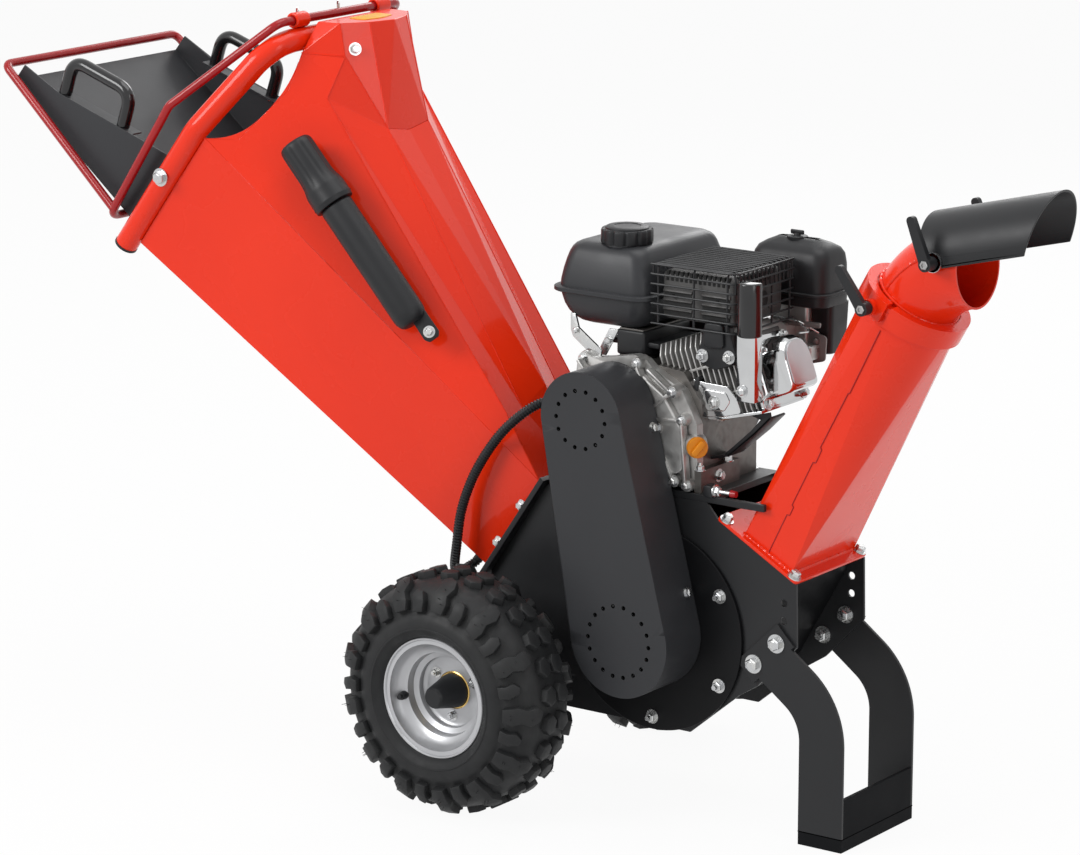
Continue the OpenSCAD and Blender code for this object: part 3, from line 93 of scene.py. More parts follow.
class Nodes:
    """A small helper that adds and joins shader nodes."""

    def __init__(self, tree):
        self.tree = tree

    def add(self, kind, **settings):
        node = self.tree.nodes.new("ShaderNode" + kind)
        for key, value in settings.items():
            setattr(node, key, value)
        return node

    def join(self, output, target):
        self.tree.links.new(output, target)

    def noise(self, where, scale, detail=4.0):
        node = self.add("TexNoise")
        node.inputs["Scale"].default_value = scale
        node.inputs["Detail"].default_value = detail
        self.join(where, node.inputs["Vector"])
        return node.outputs["Fac"]

    def span(self, value, low, high):
        node = self.add("MapRange")
        node.inputs["From Min"].default_value = 0.3
        node.inputs["From Max"].default_value = 0.7
        node.inputs["To Min"].default_value = low
        node.inputs["To Max"].default_value = high
        self.join(value, node.inputs["Value"])
        return node.outputs["Result"]

    def tones(self, value, first, second):
        node = self.add("Mix", data_type="RGBA")
        for socket in node.inputs:
            if socket.identifier == "A_Color":
                socket.default_value = (*first, 1)
            if socket.identifier == "B_Color":
                socket.default_value = (*second, 1)
            if socket.identifier == "Factor_Float":
                self.join(value, socket)
        return [o for o in node.outputs if o.identifier == "Result_Color"][0]

    def bump(self, height, strength, depth):
        node = self.add("Bump")
        node.inputs["Strength"].default_value = strength
        node.inputs["Distance"].default_value = depth
        self.join(height, node.inputs["Height"])
        return node.outputs["Normal"]


def finish(name, tone, other_tone, rough, patch=9.0, grain=900.0, grain_depth=0.00003, grain_strength=0.25,
           metal=0.0, coat=0.0, coat_rough=0.05, cells=False, gloss=0.3):
    """A finish of two close tones in soft patches, uneven gloss and a fine surface grain."""
    material = bpy.data.materials.new(name)
    material.use_nodes = True
    tree = Nodes(material.node_tree)
    shader = material.node_tree.nodes["Principled BSDF"]
    where = tree.add("TexCoord").outputs["Object"]
    patches = tree.span(tree.noise(where, patch), 0.0, 1.0)
    tree.join(tree.tones(patches, tone, other_tone), shader.inputs["Base Color"])
    tree.join(tree.span(tree.noise(where, patch * 4.3), rough[0], rough[1]), shader.inputs["Roughness"])
    if cells:
        pits = tree.add("TexVoronoi")
        pits.inputs["Scale"].default_value = grain
        tree.join(where, pits.inputs["Vector"])
        height = pits.outputs["Distance"]
    else:
        height = tree.noise(where, grain, 3.0)
    tree.join(tree.bump(height, grain_strength, grain_depth), shader.inputs["Normal"])
    shader.inputs["Metallic"].default_value = metal
    shader.inputs["Specular IOR Level"].default_value = 0.5 if metal else gloss
    shader.inputs["Coat Weight"].default_value = coat
    shader.inputs["Coat Roughness"].default_value = coat_rough
    return material


POWDER = {"patch": 5.0, "grain": 2600.0, "grain_depth": 0.00004, "grain_strength": 0.30}
CASTING = {"patch": 26.0, "grain": 850.0, "grain_depth": 0.00010, "grain_strength": 0.45}
FINISH = {
    "red_paint": finish(
        "gloss red paint", (0.83, 0.030, 0.004), (0.78, 0.025, 0.003), (0.22, 0.32), patch=3.0, grain=420.0,
        grain_depth=0.00002, grain_strength=0.12, coat=0.35, coat_rough=0.04, gloss=0.15),
    "bar_paint": finish(
        "dark red bar paint", (0.36, 0.008, 0.010), (0.30, 0.006, 0.009), (0.20, 0.30), patch=6.0,
        grain=500.0, grain_strength=0.12, coat=0.35, gloss=0.2),
    "black_paint": finish(
        "black powder coat", (0.017, 0.0175, 0.019), (0.014, 0.0145, 0.016), (0.36, 0.46), **POWDER),
    "zinc": finish(
        "zinc plate", (0.62, 0.62, 0.60), (0.52, 0.53, 0.55), (0.20, 0.38), patch=60.0, grain=700.0,
        grain_strength=0.20, metal=1.0),
    "steel": finish(
        "ground steel", (0.42, 0.41, 0.40), (0.34, 0.34, 0.34), (0.28, 0.46), patch=40.0, metal=1.0),
    "cast_aluminium": finish(
        "cast aluminium", (0.52, 0.52, 0.51), (0.36, 0.35, 0.34), (0.36, 0.56), metal=0.9, **CASTING),
    "bright_metal": finish(
        "polished chrome", (0.58, 0.585, 0.59), (0.52, 0.525, 0.53), (0.05, 0.13), patch=20.0, grain=260.0,
        grain_depth=0.00002, grain_strength=0.06, metal=1.0),
    "muffler_steel": finish(
        "heated steel", (0.105, 0.103, 0.102), (0.075, 0.073, 0.072), (0.42, 0.60), patch=30.0, grain=1200.0,
        metal=0.7),
    "black_plastic": finish(
        "moulded black plastic", (0.014, 0.0145, 0.016), (0.011, 0.0115, 0.013), (0.40, 0.52), patch=8.0,
        grain=1500.0, grain_depth=0.00005, cells=True),
    "grip_vinyl": finish(
        "dipped black vinyl", (0.007, 0.007, 0.008), (0.010, 0.010, 0.011), (0.14, 0.24), patch=18.0,
        grain=160.0, grain_depth=0.00008, grain_strength=0.12, coat=0.5, coat_rough=0.08),
    "orange_plastic": finish(
        "orange plastic", (0.68, 0.235, 0.005), (0.62, 0.205, 0.005), (0.32, 0.44), patch=40.0, grain=1300.0,
        cells=True),
    "rim_silver": finish(
        "silver rim paint", (0.50, 0.505, 0.52), (0.44, 0.445, 0.46), (0.30, 0.42), patch=12.0, grain=2600.0,
        grain_strength=0.20, metal=0.55, coat=0.3, coat_rough=0.12),
    "tyre_rubber": finish(
        "tyre rubber", (0.010, 0.0105, 0.0115), (0.016, 0.0165, 0.017), (0.50, 0.68), patch=14.0, grain=700.0,
        grain_depth=0.00012, grain_strength=0.35),
    "belt_rubber": finish(
        "belt rubber", (0.012, 0.012, 0.012), (0.018, 0.018, 0.018), (0.6, 0.8), patch=40.0, grain=1500.0),
    "brass": finish(
        "brass ring", (0.62, 0.42, 0.14), (0.54, 0.36, 0.12), (0.18, 0.32), patch=50.0, metal=1.0),
    "bracket_steel": finish(
        "brown-grey bracket", (0.24, 0.22, 0.215), (0.19, 0.175, 0.17), (0.32, 0.46), patch=30.0,
        grain=1000.0, metal=0.6),
    "case_shade": finish(
        "shaded casting", (0.17, 0.160, 0.150), (0.11, 0.103, 0.097), (0.34, 0.52), metal=0.8, **CASTING),
    # Black paint lightened as painted light, used on the belt cover, the tray and the tank
    "painted_light_black": finish(
        "black paint lightened as painted light", (0.030, 0.031, 0.034), (0.026, 0.027, 0.030), (0.36, 0.46), **POWDER),
    # Black paint darkened as painted shade, used on the bearing plates and the housing wrap
    "painted_shade_black": finish(
        "black paint darkened as painted shade", (0.006, 0.0062, 0.007), (0.004, 0.0042, 0.005), (0.40, 0.50), gloss=0.16,
        **POWDER),
    "foot_paint": finish(
        "dull black paint", (0.013, 0.0134, 0.0145), (0.011, 0.0114, 0.0125), (0.5, 0.6), gloss=0.03,
        **POWDER),
    # Near-black, as painted shade of holes and grooves
    "painted_hole_shade": finish(
        "painted shade of a hole", (0.001, 0.001, 0.001), (0.0012, 0.0012, 0.0012), (0.8, 0.9), gloss=0.0),
    "yellow_pad": finish("yellow pad", (0.72, 0.36, 0.02), (0.66, 0.32, 0.02), (0.4, 0.5), patch=30.0),
}


# Making pieces

def show(name, mesh, slot, body, stands_for=(), coat=None, crease=35):
    """Adds a finished mesh to the scene, on its body, with its finish."""
    mesh.materials.append(FINISH[coat or slot])
    mesh.shade_smooth()
    mesh.set_sharp_from_angle(angle=radians(crease))
    thing = bpy.data.objects.new(name, mesh)
    scene.collection.objects.link(thing)
    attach(thing, body)
    if stands_for:
        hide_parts(*stands_for)
    return thing


def piece(name, bm, slot, body, stands_for=(), coat=None, crease=35):
    """Turns a shape made in millimetres into a piece of the object."""
    bm.transform(TO_FRAME)
    mesh = bpy.data.meshes.new(name)
    bm.to_mesh(mesh)
    bm.free()
    return show(name, mesh, slot, body, stands_for, coat, crease)


def bars(name, runs, radius, slot, body, stands_for=(), coat=None, sides=4, ripple=(1.0,), loops=()):
    """Round bars along closed loops and open runs of points, as one mesh piece."""
    line = bpy.data.curves.new(name + "_line", "CURVE")
    line.dimensions = "3D"
    line.bevel_depth = radius * MM
    line.bevel_resolution = sides
    line.use_fill_caps = True
    for points, closed in [(loop, True) for loop in loops] + [(run, False) for run in runs]:
        spline = line.splines.new("POLY")
        spline.points.add(len(points) - 1)
        for k, p in enumerate(points):
            spline.points[k].co = (*(TO_FRAME @ Vector(p)), 1)
            spline.points[k].radius = ripple[k % len(ripple)]
        spline.use_cyclic_u = closed
    holder = bpy.data.objects.new(name + "_line", line)
    scene.collection.objects.link(holder)
    graph = bpy.context.evaluated_depsgraph_get()
    mesh = bpy.data.meshes.new_from_object(holder.evaluated_get(graph))
    mesh.name = name
    mesh.materials.clear()
    bpy.data.objects.remove(holder)
    bpy.data.curves.remove(line)
    return show(name, mesh, slot, body, stands_for, coat)


def rounded(points, radius, closed=False, steps=7):
    """A run of points with each corner turned by a bend of that radius."""
    points = [Vector(p) for p in points]
    count = len(points)
    out = []
    for i, p in enumerate(points):
        if not closed and i in (0, count - 1):
            out.append(p)
            continue
        before = points[i - 1] - p
        after = points[(i + 1) % count] - p
        turn = pi - before.angle(after)
        reach = min(radius * tan(turn / 2), 0.49 * before.length, 0.49 * after.length)
        start = p + reach * before.normalized()
        end = p + reach * after.normalized()
        for k in range(steps + 1):
            t = k / steps
            out.append((1 - t) ** 2 * start + 2 * t * (1 - t) * p + t ** 2 * end)
    return out


def offset(x, y, z):
    """A plain move."""
    return Matrix.Translation((x, y, z))


def facing(direction):
    """The turn that takes +Z to a direction."""
    return Vector(UP).rotation_difference(Vector(direction)).to_matrix().to_4x4()


def rod(bm, a, b, r0, r1=None, sides=32):
    """A solid rod or taper between two points."""
    a = Vector(a)
    b = Vector(b)
    place = Matrix.Translation((a + b) / 2) @ facing(b - a)
    bmesh.ops.create_cone(bm, cap_ends=True, segments=sides, radius1=r0, radius2=r0 if r1 is None else r1,
                          depth=(b - a).length, matrix=place)


def block(bm, low, high, round_by=0.0, segments=3):
    """A box between two corners, with its edges rounded."""
    low = Vector(low)
    high = Vector(high)
    place = Matrix.Translation((low + high) / 2) @ Matrix.Diagonal((*(high - low), 1))
    verts = bmesh.ops.create_cube(bm, size=1, matrix=place)["verts"]
    if round_by:
        round_edges(bm, list({e for v in verts for e in v.link_edges}), round_by, segments)


def round_edges(bm, edges, width, segments=2):
    """Rounds edges to a width."""
    bmesh.ops.bevel(bm, geom=edges, offset=width, offset_type="OFFSET", segments=segments, profile=0.5,
                    affect="EDGES", material=-1, clamp_overlap=True)


def sharp_edges(bm, degrees=30):
    """Edges whose faces meet at more than an angle."""
    limit = radians(degrees)
    return [e for e in bm.edges if len(e.link_faces) == 2 and e.calc_face_angle(0) > limit]


def lift(bm, height):
    """Pulls all faces up to a height, and gives back the lifted vertices."""
    lifted = bmesh.ops.extrude_face_region(bm, geom=bm.faces[:])["geom"]
    top = [g for g in lifted if isinstance(g, bmesh.types.BMVert)]
    bmesh.ops.translate(bm, verts=top, vec=(0, 0, height))
    return top


def outward(bm):
    """Turns all faces outward."""
    bmesh.ops.recalc_face_normals(bm, faces=bm.faces[:])


def merge(bm, part):
    """Adds one shape to another."""
    mesh = bpy.data.meshes.new("part")
    part.to_mesh(mesh)
    part.free()
    bm.from_mesh(mesh)
    bpy.data.meshes.remove(mesh)


def turned(bm, profile, place, steps=64):
    """A profile of [radius, height] points turned about its own axis, then set in place."""
    part = bmesh.new()
    verts = [part.verts.new((r, 0, h)) for r, h in profile]
    edges = [part.edges.new(pair) for pair in zip(verts, verts[1:])]
    bmesh.ops.spin(part, geom=verts + edges, cent=(0, 0, 0), axis=UP, angle=2 * pi, steps=steps,
                   use_merge=True)
    bmesh.ops.remove_doubles(part, verts=part.verts[:], dist=0.001)
    outward(part)
    part.transform(place)
    merge(bm, part)


def bolt(bm, at, out, across, head, tip=0.0):
    """A hexagon bolt head on its washer, with a chamfered crown and an optional thread end."""
    at = Vector(at)
    out = Vector(out).normalized()
    seat = at + 0.16 * head * out
    chamfer = seat + 0.78 * head * out
    top = seat + head * out
    rod(bm, at - 0.3 * out, seat, 0.80 * across, sides=28)
    rod(bm, seat, chamfer, 0.577 * across, sides=6)
    rod(bm, chamfer, top, 0.565 * across, 0.46 * across, sides=6)
    if tip:
        rod(bm, top, seat + (head + tip) * out, 0.30 * across, 0.27 * across, sides=16)
    else:
        rod(bm, top, seat + 1.05 * head * out, 0.34 * across, 0.30 * across, sides=16)


# CAD nodes that stay get rounded edges and their finishes
slot_of = {part["node"]: part["material_slot"] for part in frame["record"]["subparts"]}


def dress(node, width=0.0008, coat=None, angle=30, segments=2, flat=False):
    """Rounds a CAD node's edges and gives it its finish."""
    thing = frame["nodes"][node]
    thing.data.materials.clear()
    thing.data.materials.append(FINISH[coat or slot_of[node]])
    weld = thing.modifiers.new("weld", "WELD")
    weld.merge_threshold = 0.00002
    if flat:
        level = thing.modifiers.new("level", "DECIMATE")
        level.decimate_type = "DISSOLVE"
        level.angle_limit = radians(0.5)
    edge = thing.modifiers.new("edge", "BEVEL")
    edge.width = width
    edge.segments = segments
    edge.limit_method = "ANGLE"
    edge.angle_limit = radians(angle)
    edge.use_clamp_overlap = True
    normals = thing.modifiers.new("normals", "WEIGHTED_NORMAL")
    normals.keep_sharp = False


# Folded sheets have crisp folds, castings and levers softer edges, and flat plates thin ones
FOLDED = {"width": 0.0022, "angle": 4}
SOFT = {"width": 0.002, "segments": 3}
special = {
    "crankcase": {"coat": "case_shade", **SOFT},
    # The belt cover and the tray get black paint lightened as painted light
    "belt_cover": {"coat": "painted_light_black"},
    "tray": {"coat": "painted_light_black"},
    # The bearing plates and the housing wrap get black paint darkened as painted shade
    "bearing_plates": {"coat": "painted_shade_black"},
    "housing_wrap": {"coat": "painted_shade_black"},
    "housing_plate_left": {"width": 0.0004, "flat": True},
    "housing_plate_right": {"width": 0.0004, "flat": True},
    "stand_legs": {"width": 0.0005, "flat": True},
    "stand_foot": {"coat": "foot_paint"},
}
for sheet in ("side_left", "side_right", "roof", "head", "floor"):
    special["hopper_" + sheet] = FOLDED
for node in ("deflector_lever_left", "deflector_lever_right", "collar_lever", "hub_cap_left", "hub_cap_right",
             "starter_grip", "collar", "bar_sleeves"):
    special[node] = SOFT
for node in frame["nodes"]:
    dress(node, **special.get(node, {}))

# Wheels: a carcass turned round its axis, with lugs laid on its crown
FLAT = 22.5
ARC = 40.0
CROWN_R = 127.5
BASE_R = CROWN_R + ARC
LUG_H = 10.0
LUG_ROOT = 2
PITCHES = 13
PITCH = 2 * pi * BASE_R / PITCHES
LONG_LUG = [(-14, 83), (-17, 70), (-11, 59), (-16, 46), (-9, 34), (5, 30), (14, 37), (11, 50), (17, 62),
            (14, 83)]
SHORT_LUG = [(-12, 85), (-14, 71), (-7, 58), (4, 55), (13, 63), (10, 74), (13, 85)]
MIDDLE_LUG = [(-15, 4), (-9, -9), (6, -11), (16, -3), (12, 11), (-4, 15)]


def on_tread(p):
    """A point of the flat tread (along, across, up) on the round tyre."""
    hand = 1 if p.y >= 0 else -1
    across = abs(p.y)
    if across <= FLAT:
        radius = BASE_R + p.z
        height = across
    else:
        lean = (across - FLAT) / ARC
        radius = CROWN_R + (ARC + p.z) * cos(lean)
        height = FLAT + (ARC + p.z) * sin(lean)
    turn = p.x / BASE_R
    return Vector((radius * cos(turn), radius * sin(turn), hand * height))


def lay_lug(bm, outline, along, across, flip):
    """One lug on the flat tread: an outline pulled up, drawn in at the top and rounded."""
    part = bmesh.new()
    order = outline if flip > 0 else outline[::-1]
    part.faces.new([part.verts.new((u + along, flip * t + across, -LUG_ROOT)) for u, t in order])
    for step in range(-8, 9):
        bmesh.ops.bisect_plane(part, geom=part.verts[:] + part.edges[:] + part.faces[:], dist=0.01,
                               plane_co=(0, 11.5 * step, 0), plane_no=FAR)
    top = lift(part, LUG_H + LUG_ROOT)
    middle = sum((v.co for v in top), Vector()) / len(top)
    for v in top:
        v.co.x = middle.x + 0.86 * (v.co.x - middle.x)
        v.co.y = middle.y + 0.93 * (v.co.y - middle.y)
    outward(part)
    rim_edges = [e for e in sharp_edges(part, 40) if all(v.co.z > LUG_H - 1 for v in e.verts)]
    round_edges(part, rim_edges, 1.2)
    merge(bm, part)


def tyre_mesh():
    """One tyre about its own axis, +Z outward."""
    bm = bmesh.new()
    for flip in (-1, 1):
        start = 0 if flip > 0 else PITCH / 2
        lay_lug(bm, LONG_LUG, start, 0, flip)
        lay_lug(bm, SHORT_LUG, start + 0.52 * PITCH, 0, flip)
        for share in (0.26, 0.76):
            lay_lug(bm, MIDDLE_LUG, start + share * PITCH, flip * 12, flip)
    flat_lugs = bm.verts[:] + bm.edges[:] + bm.faces[:]
    for k in range(1, PITCHES):
        copy = bmesh.ops.duplicate(bm, geom=flat_lugs)["geom"]
        moved = [g for g in copy if isinstance(g, bmesh.types.BMVert)]
        bmesh.ops.translate(bm, verts=moved, vec=(k * PITCH, 0, 0))
    hair = random.Random(4)
    for k in range(PITCHES * 6):
        flip = 1 if k % 2 else -1
        start = 0 if flip > 0 else PITCH / 2
        along = (k // 2 % PITCHES) * PITCH + start + hair.uniform(-6, 4)
        at = Vector((along, flip * hair.uniform(44, 72), LUG_H - 1))
        rod(bm, at, at + Vector((0, 0, hair.uniform(5, 7.5))), 0.55, 0.25, sides=4)
    for v in bm.verts:
        v.co = on_tread(v.co)
    wall = [(82, 0), (82, 56), (88.6, 57.6), (90.5, 60.5), (95, 66), (101, 69.2), (102, 70.8), (103.5, 70.9),
            (104.5, 69.8), (112, 70.2), (119, 68.2), (124, 65.2), (128, 62.2)]
    crown = [(CROWN_R + ARC * cos(radians(a)), FLAT + ARC * sin(radians(a))) for a in range(84, -1, -7)]
    outer = wall + crown
    turned(bm, outer + [(r, -h) for r, h in outer[::-1]], Matrix.Identity(4), 108)
    return bm


# The pressed rim: a thin lip and steps down to the flat wheel disc, and its back
RIM_FRONT = [(88.3, 57.2), (88.3, 59), (87.4, 60), (86, 60), (85, 59), (84, 55.5), (82.5, 53), (79, 51.5),
             (77.5, 50), (76.5, 44), (75, 41.5), (70, 40), (67, 38.5), (65.8, 36), (65, 28), (63, 25.5),
             (58.5, 24), (56.5, 22), (55.8, 16), (54, 12), (50, 9), (46, 8.4), (10.1, 8.4)]
RIM_BACK = [(10.1, 4.5), (48, 4.5), (53.5, 8.5), (52.5, 22), (60, 25.5), (62, 37), (71, 41), (73.5, 46),
            (78.6, 53), (78.6, 57.2)]
RIM_BARREL = [(78.5, -60), (88.4, -60), (88.4, -57), (81.5, -57), (81.5, 50), (78.5, 50), (78.5, -60)]
HUB_TUBE = [(10.1, -40), (20, -40), (20, 7), (10.1, 7), (10.1, -40)]
WHEEL_Y = 242
WHEEL_Z = 177.5
for s, body in ((-1, "wheel_left"), (1, "wheel_right")):
    hand = body.split("_")[1]
    place = offset(0, s * WHEEL_Y, WHEEL_Z) @ Matrix.Rotation(radians(-90 * s), 4, "X")
    rubber = tyre_mesh()
    rubber.transform(place)
    piece("knobby_tyre_" + hand, rubber, "tyre_rubber", body, ["tyre_" + hand], crease=50)
    dish = bmesh.new()
    turned(dish, RIM_FRONT + RIM_BACK + RIM_FRONT[:1], place, 96)
    turned(dish, RIM_BARREL, place, 96)
    turned(dish, HUB_TUBE, place, 48)
    piece("stepped_rim_" + hand, dish, "rim_silver", body, ["rim_" + hand], crease=40)
    metal = bmesh.new()
    for k in range(3):
        spin = radians(120 * k + 26)
        bolt(metal, (38 * cos(spin), 38 * sin(spin), 8.4), UP, 10, 6, tip=3)
    metal.transform(place)
    piece("wheel_bolts_" + hand, metal, "zinc", body)
    ring = bmesh.new()
    turned(ring, [(24, 8), (27.5, 8), (27.8, 9.2), (26.5, 10), (24, 9.8), (24, 8)], place)
    piece("hub_ring_" + hand, ring, "zinc", body, coat="brass")
    stem = bmesh.new()
    spin = radians(190)
    out = Vector((cos(spin), sin(spin), 0))
    rod(stem, 68 * out + Vector((0, 0, 36)), 67 * out + Vector((0, 0, 48)), 6.8, 5.6)
    rod(stem, 67 * out + Vector((0, 0, 48)), 66.5 * out + Vector((0, 0, 53)), 4.4, 4.0)
    round_edges(stem, sharp_edges(stem), 0.8)
    stem.transform(place)
    piece("valve_stem_" + hand, stem, "black_plastic", body)


# Bent tubes and bars of the feed side

def both_sides(points):
    """A run on the near side, carried on over the far side."""
    return [(x, -y, z) for x, y, z in points] + [(x, y, z) for x, y, z in points[::-1]]


TUBE = [(-639, 208, 749), (-500, 208, 933), (-418, 160, 1038), (-400, 138, 1058), (-395, 112, 1063)]
bars("mouth_bar", [rounded(both_sides(TUBE), 70)], 17.5, "red_paint", "frame", ["mouth_tube"], sides=7)
BAR = [(-395, 142, 1092), (-545, 215, 966), (-675, 205, 785)]
RAIL = [(-665.9, 205.7, 797.7), (-885, 198, 995)]
bars("stop_loop", [rounded(both_sides(RAIL), 15)], 6.5, "bar_paint", "feed_stop", ["stop_bar"], sides=5,
     loops=[rounded(both_sides(BAR), 24, closed=True)])
TRAY = offset(-874, 0, 972) @ Matrix.Rotation(radians(39.6), 4, "Y")
WING = TRAY @ offset(75, 0, 45) @ Matrix.Rotation(-atan2(85, 225), 4, "Y")
GRIP_Y = 175
GRIP_X = (4, 124)
grip_runs = []
grip_screws = bmesh.new()
for y in (-GRIP_Y, GRIP_Y):
    run = [(GRIP_X[0], y, -0.5), (GRIP_X[0], y, 55), (GRIP_X[1], y, 55), (GRIP_X[1], y, -0.5)]
    grip_runs.append(rounded([WING @ Vector(p) for p in run], 34, steps=10))
    for x in GRIP_X:
        bolt(grip_screws, WING @ Vector((x, y, -3.2)), WING.to_3x3() @ Vector((0, 0, -1)), 10, 5)
bars("tray_grip_loops", grip_runs, 10, "grip_vinyl", "feed_tray", ["tray_grips"], sides=7)
piece("grip_screws", grip_screws, "zinc", "feed_tray")

# Ribbed conduit from the engine to the throat
ROUTE = [(95, -52, 572), (84, -52, 572), (73, -52, 572), (52, -78, 578), (28, -103, 567), (-12, -119, 528),
         (-52, -125, 469), (-77, -127, 409), (-88, -126, 350), (-98, -117, 316), (-106, -96, 301),
         (-108, -72, 303), (-101, -60, 311), (-92, -60, 322.5), (-83, -60, 334)]
HOSE_RINGS = (1.0, 1.0, 0.84, 0.84)


def smooth_route(points, steps):
    """A Catmull-Rom line through the points, as the CAD source draws it."""
    points = [Vector(p) for p in points]
    out = []
    for k in range(len(points) - 1):
        p, q, r, s = (points[max(k - 1, 0)], points[k], points[k + 1], points[min(k + 2, len(points) - 1)])
        for j in range(steps):
            t = j / steps
            out.append(0.5 * (2 * q + (r - p) * t + (2 * p - 5 * q + 4 * r - s) * t ** 2
                              + (3 * q - p - 3 * r + s) * t ** 3))
    return out + [points[-1]]


def even_steps(points, step):
    """Points a fixed distance apart along a run."""
    out = [points[0]]
    left = step
    for a, b in zip(points, points[1:]):
        gap = (b - a).length
        done = 0.0
        while gap - done >= left:
            done += left
            out.append(a.lerp(b, done / gap))
            left = step
        left -= gap - done
    return out


hose = bars("ribbed_conduit", [even_steps(smooth_route(ROUTE, 12), 1.1)], 7.5, "black_plastic", "frame",
            ["conduit"], sides=3, ripple=HOSE_RINGS)
[TO_FRAME @ p for p in even_steps(smooth_route(ROUTE, 12), 4.0)]

# Engine
CYL = Matrix.Translation(CRANK) @ Matrix.Rotation(radians(-20), 4, "Y")
CYL_OUT = CYL.to_3x3() @ Vector((1, 0, 0))


def side(y):
    """Takes an outline of [x, z] points to the plane at that y, pulled along +Y."""
    return Matrix(((1, 0, 0, 0), (0, 0, 1, y), (0, 1, 0, 0), (0, 0, 0, 1)))


def front(x):
    """Takes an outline of [y, z] points to the plane at that x, pulled along +X."""
    return Matrix(((0, 0, 1, x), (1, 0, 0, 0), (0, 1, 0, 0), (0, 0, 0, 1)))


def prism(bm, outline, place, depth, edge=0.0, segments=2, limit=30):
    """A flat outline pulled to a depth, with its edges rounded, then set in place."""
    part = bmesh.new()
    part.faces.new([part.verts.new((a, b, 0)) for a, b in outline])
    lift(part, depth)
    outward(part)
    if edge:
        round_edges(part, sharp_edges(part, limit), edge, segments)
    part.transform(place)
    outward(part)
    merge(bm, part)


def soft_corners(points, radius):
    """A closed flat outline with its corners rounded."""
    return [(p.x, p.y) for p in rounded([(a, b, 0) for a, b in points], radius, closed=True, steps=5)]


def round_rect(low, high, radius, height, steps=8):
    """A level ring with four round corners."""
    out = []
    corners = ((high[0] - radius, high[1] - radius), (low[0] + radius, high[1] - radius),
               (low[0] + radius, low[1] + radius), (high[0] - radius, low[1] + radius))
    for turn, (x, y) in enumerate(corners):
        for k in range(steps + 1):
            a = radians(90 * turn + 90 * k / steps)
            out.append((x + radius * cos(a), y + radius * sin(a), height))
    return out


def loft(bm, rings, place=Matrix.Identity(4)):
    """A closed skin over rings of points."""
    part = bmesh.new()
    rows = [[part.verts.new(p) for p in ring] for ring in rings]
    for low, high in zip(rows, rows[1:]):
        for k in range(len(low)):
            after = (k + 1) % len(low)
            part.faces.new((low[k], low[after], high[after], high[k]))
    part.faces.new(rows[0][::-1])
    part.faces.new(rows[-1])
    outward(part)
    part.transform(place)
    merge(bm, part)


def soft_box(bm, low, high, levels, corner):
    """A moulded box whose rings draw in by an inset at each level."""
    loft(bm, [round_rect((low[0] + inset, low[1] + inset), (high[0] - inset, high[1] - inset),
                         max(corner - 0.25 * inset, 5), z) for z, inset in levels])


def fluted(levels, count, flutes, power):
    """Rings of [height, radius, depth] levels with flutes cut into them."""
    rings = []
    for z, radius, depth in levels:
        ring = []
        for k in range(count):
            turn = 2 * pi * k / count
            reach = radius - depth * max(0.0, cos(flutes * turn)) ** power
            ring.append((reach * cos(turn), reach * sin(turn), z))
        rings.append(ring)
    return rings


# Fuel tank in two moulded halves with a lip at the seam
TANK = ((51, -85), (212, 150))
CAP = offset(145, -30, 0)
tank = bmesh.new()
soft_box(tank, *TANK, [(691, 62), (691.6, 46), (693.5, 35), (697, 26), (703, 18.5), (711, 12.5), (722, 7.5),
                       (734, 4.5), (741.5, 3.5)], 26)
soft_box(tank, (46, -90), (217, 155), [(740.5, 1.4), (741.5, 0), (746.5, 0), (747.5, 1.4)], 30)
soft_box(tank, *TANK, [(746.5, 3), (756, 3.6), (772, 6.5), (786, 10), (797, 13.5), (803, 16.5), (807.5, 20.5),
                       (810.5, 26), (811.8, 33), (812, 42)], 26)
turned(tank, [(0, 809), (33, 809), (33, 813.5), (30, 815), (0, 815)], CAP, 48)
turned(tank, [(0, 817), (26, 817), (26, 821), (0, 821)], CAP, 48)
# The tank gets black paint lightened as painted light
piece("moulded_tank", tank, "black_plastic", "frame", ["fuel_tank"], coat="painted_light_black", crease=50)
cap = bmesh.new()
CAP_LEVELS = ((812.6, 0.985), (813.6, 1.0), (829.5, 1.0), (831.5, 0.985), (832.6, 0.955))
loft(cap, fluted([(z, 37.4 * scale, 3.0 * scale) for z, scale in CAP_LEVELS], 120, 12, 3), CAP)
turned(cap, [(0, 832), (31.5, 832), (31, 834.6), (28.5, 836), (20, 836.2), (19, 835.2), (0, 835.2)], CAP, 72)
piece("fluted_fuel_cap", cap, "black_plastic", "tank_cap", ["fuel_cap"], crease=40)

# Tank bracket, seen under the tank's front corner
bracket = bmesh.new()
prism(bracket, [(76, 708), (84, 708), (90, 688), (130, 660), (128, 646), (116, 648), (80, 674), (76, 684)],
      side(-71), 4, 0.8)
for y in (-58, 60):
    prism(bracket, [(112, 650), (128, 650), (150, 690), (134, 690)], side(y), 3, 0.6)
bolt(bracket, (86, -71, 684), NEAR, 8, 4)
bolt(bracket, (134, -58, 673), NEAR, 9, 5)
piece("tank_bracket", bracket, "zinc", "frame")

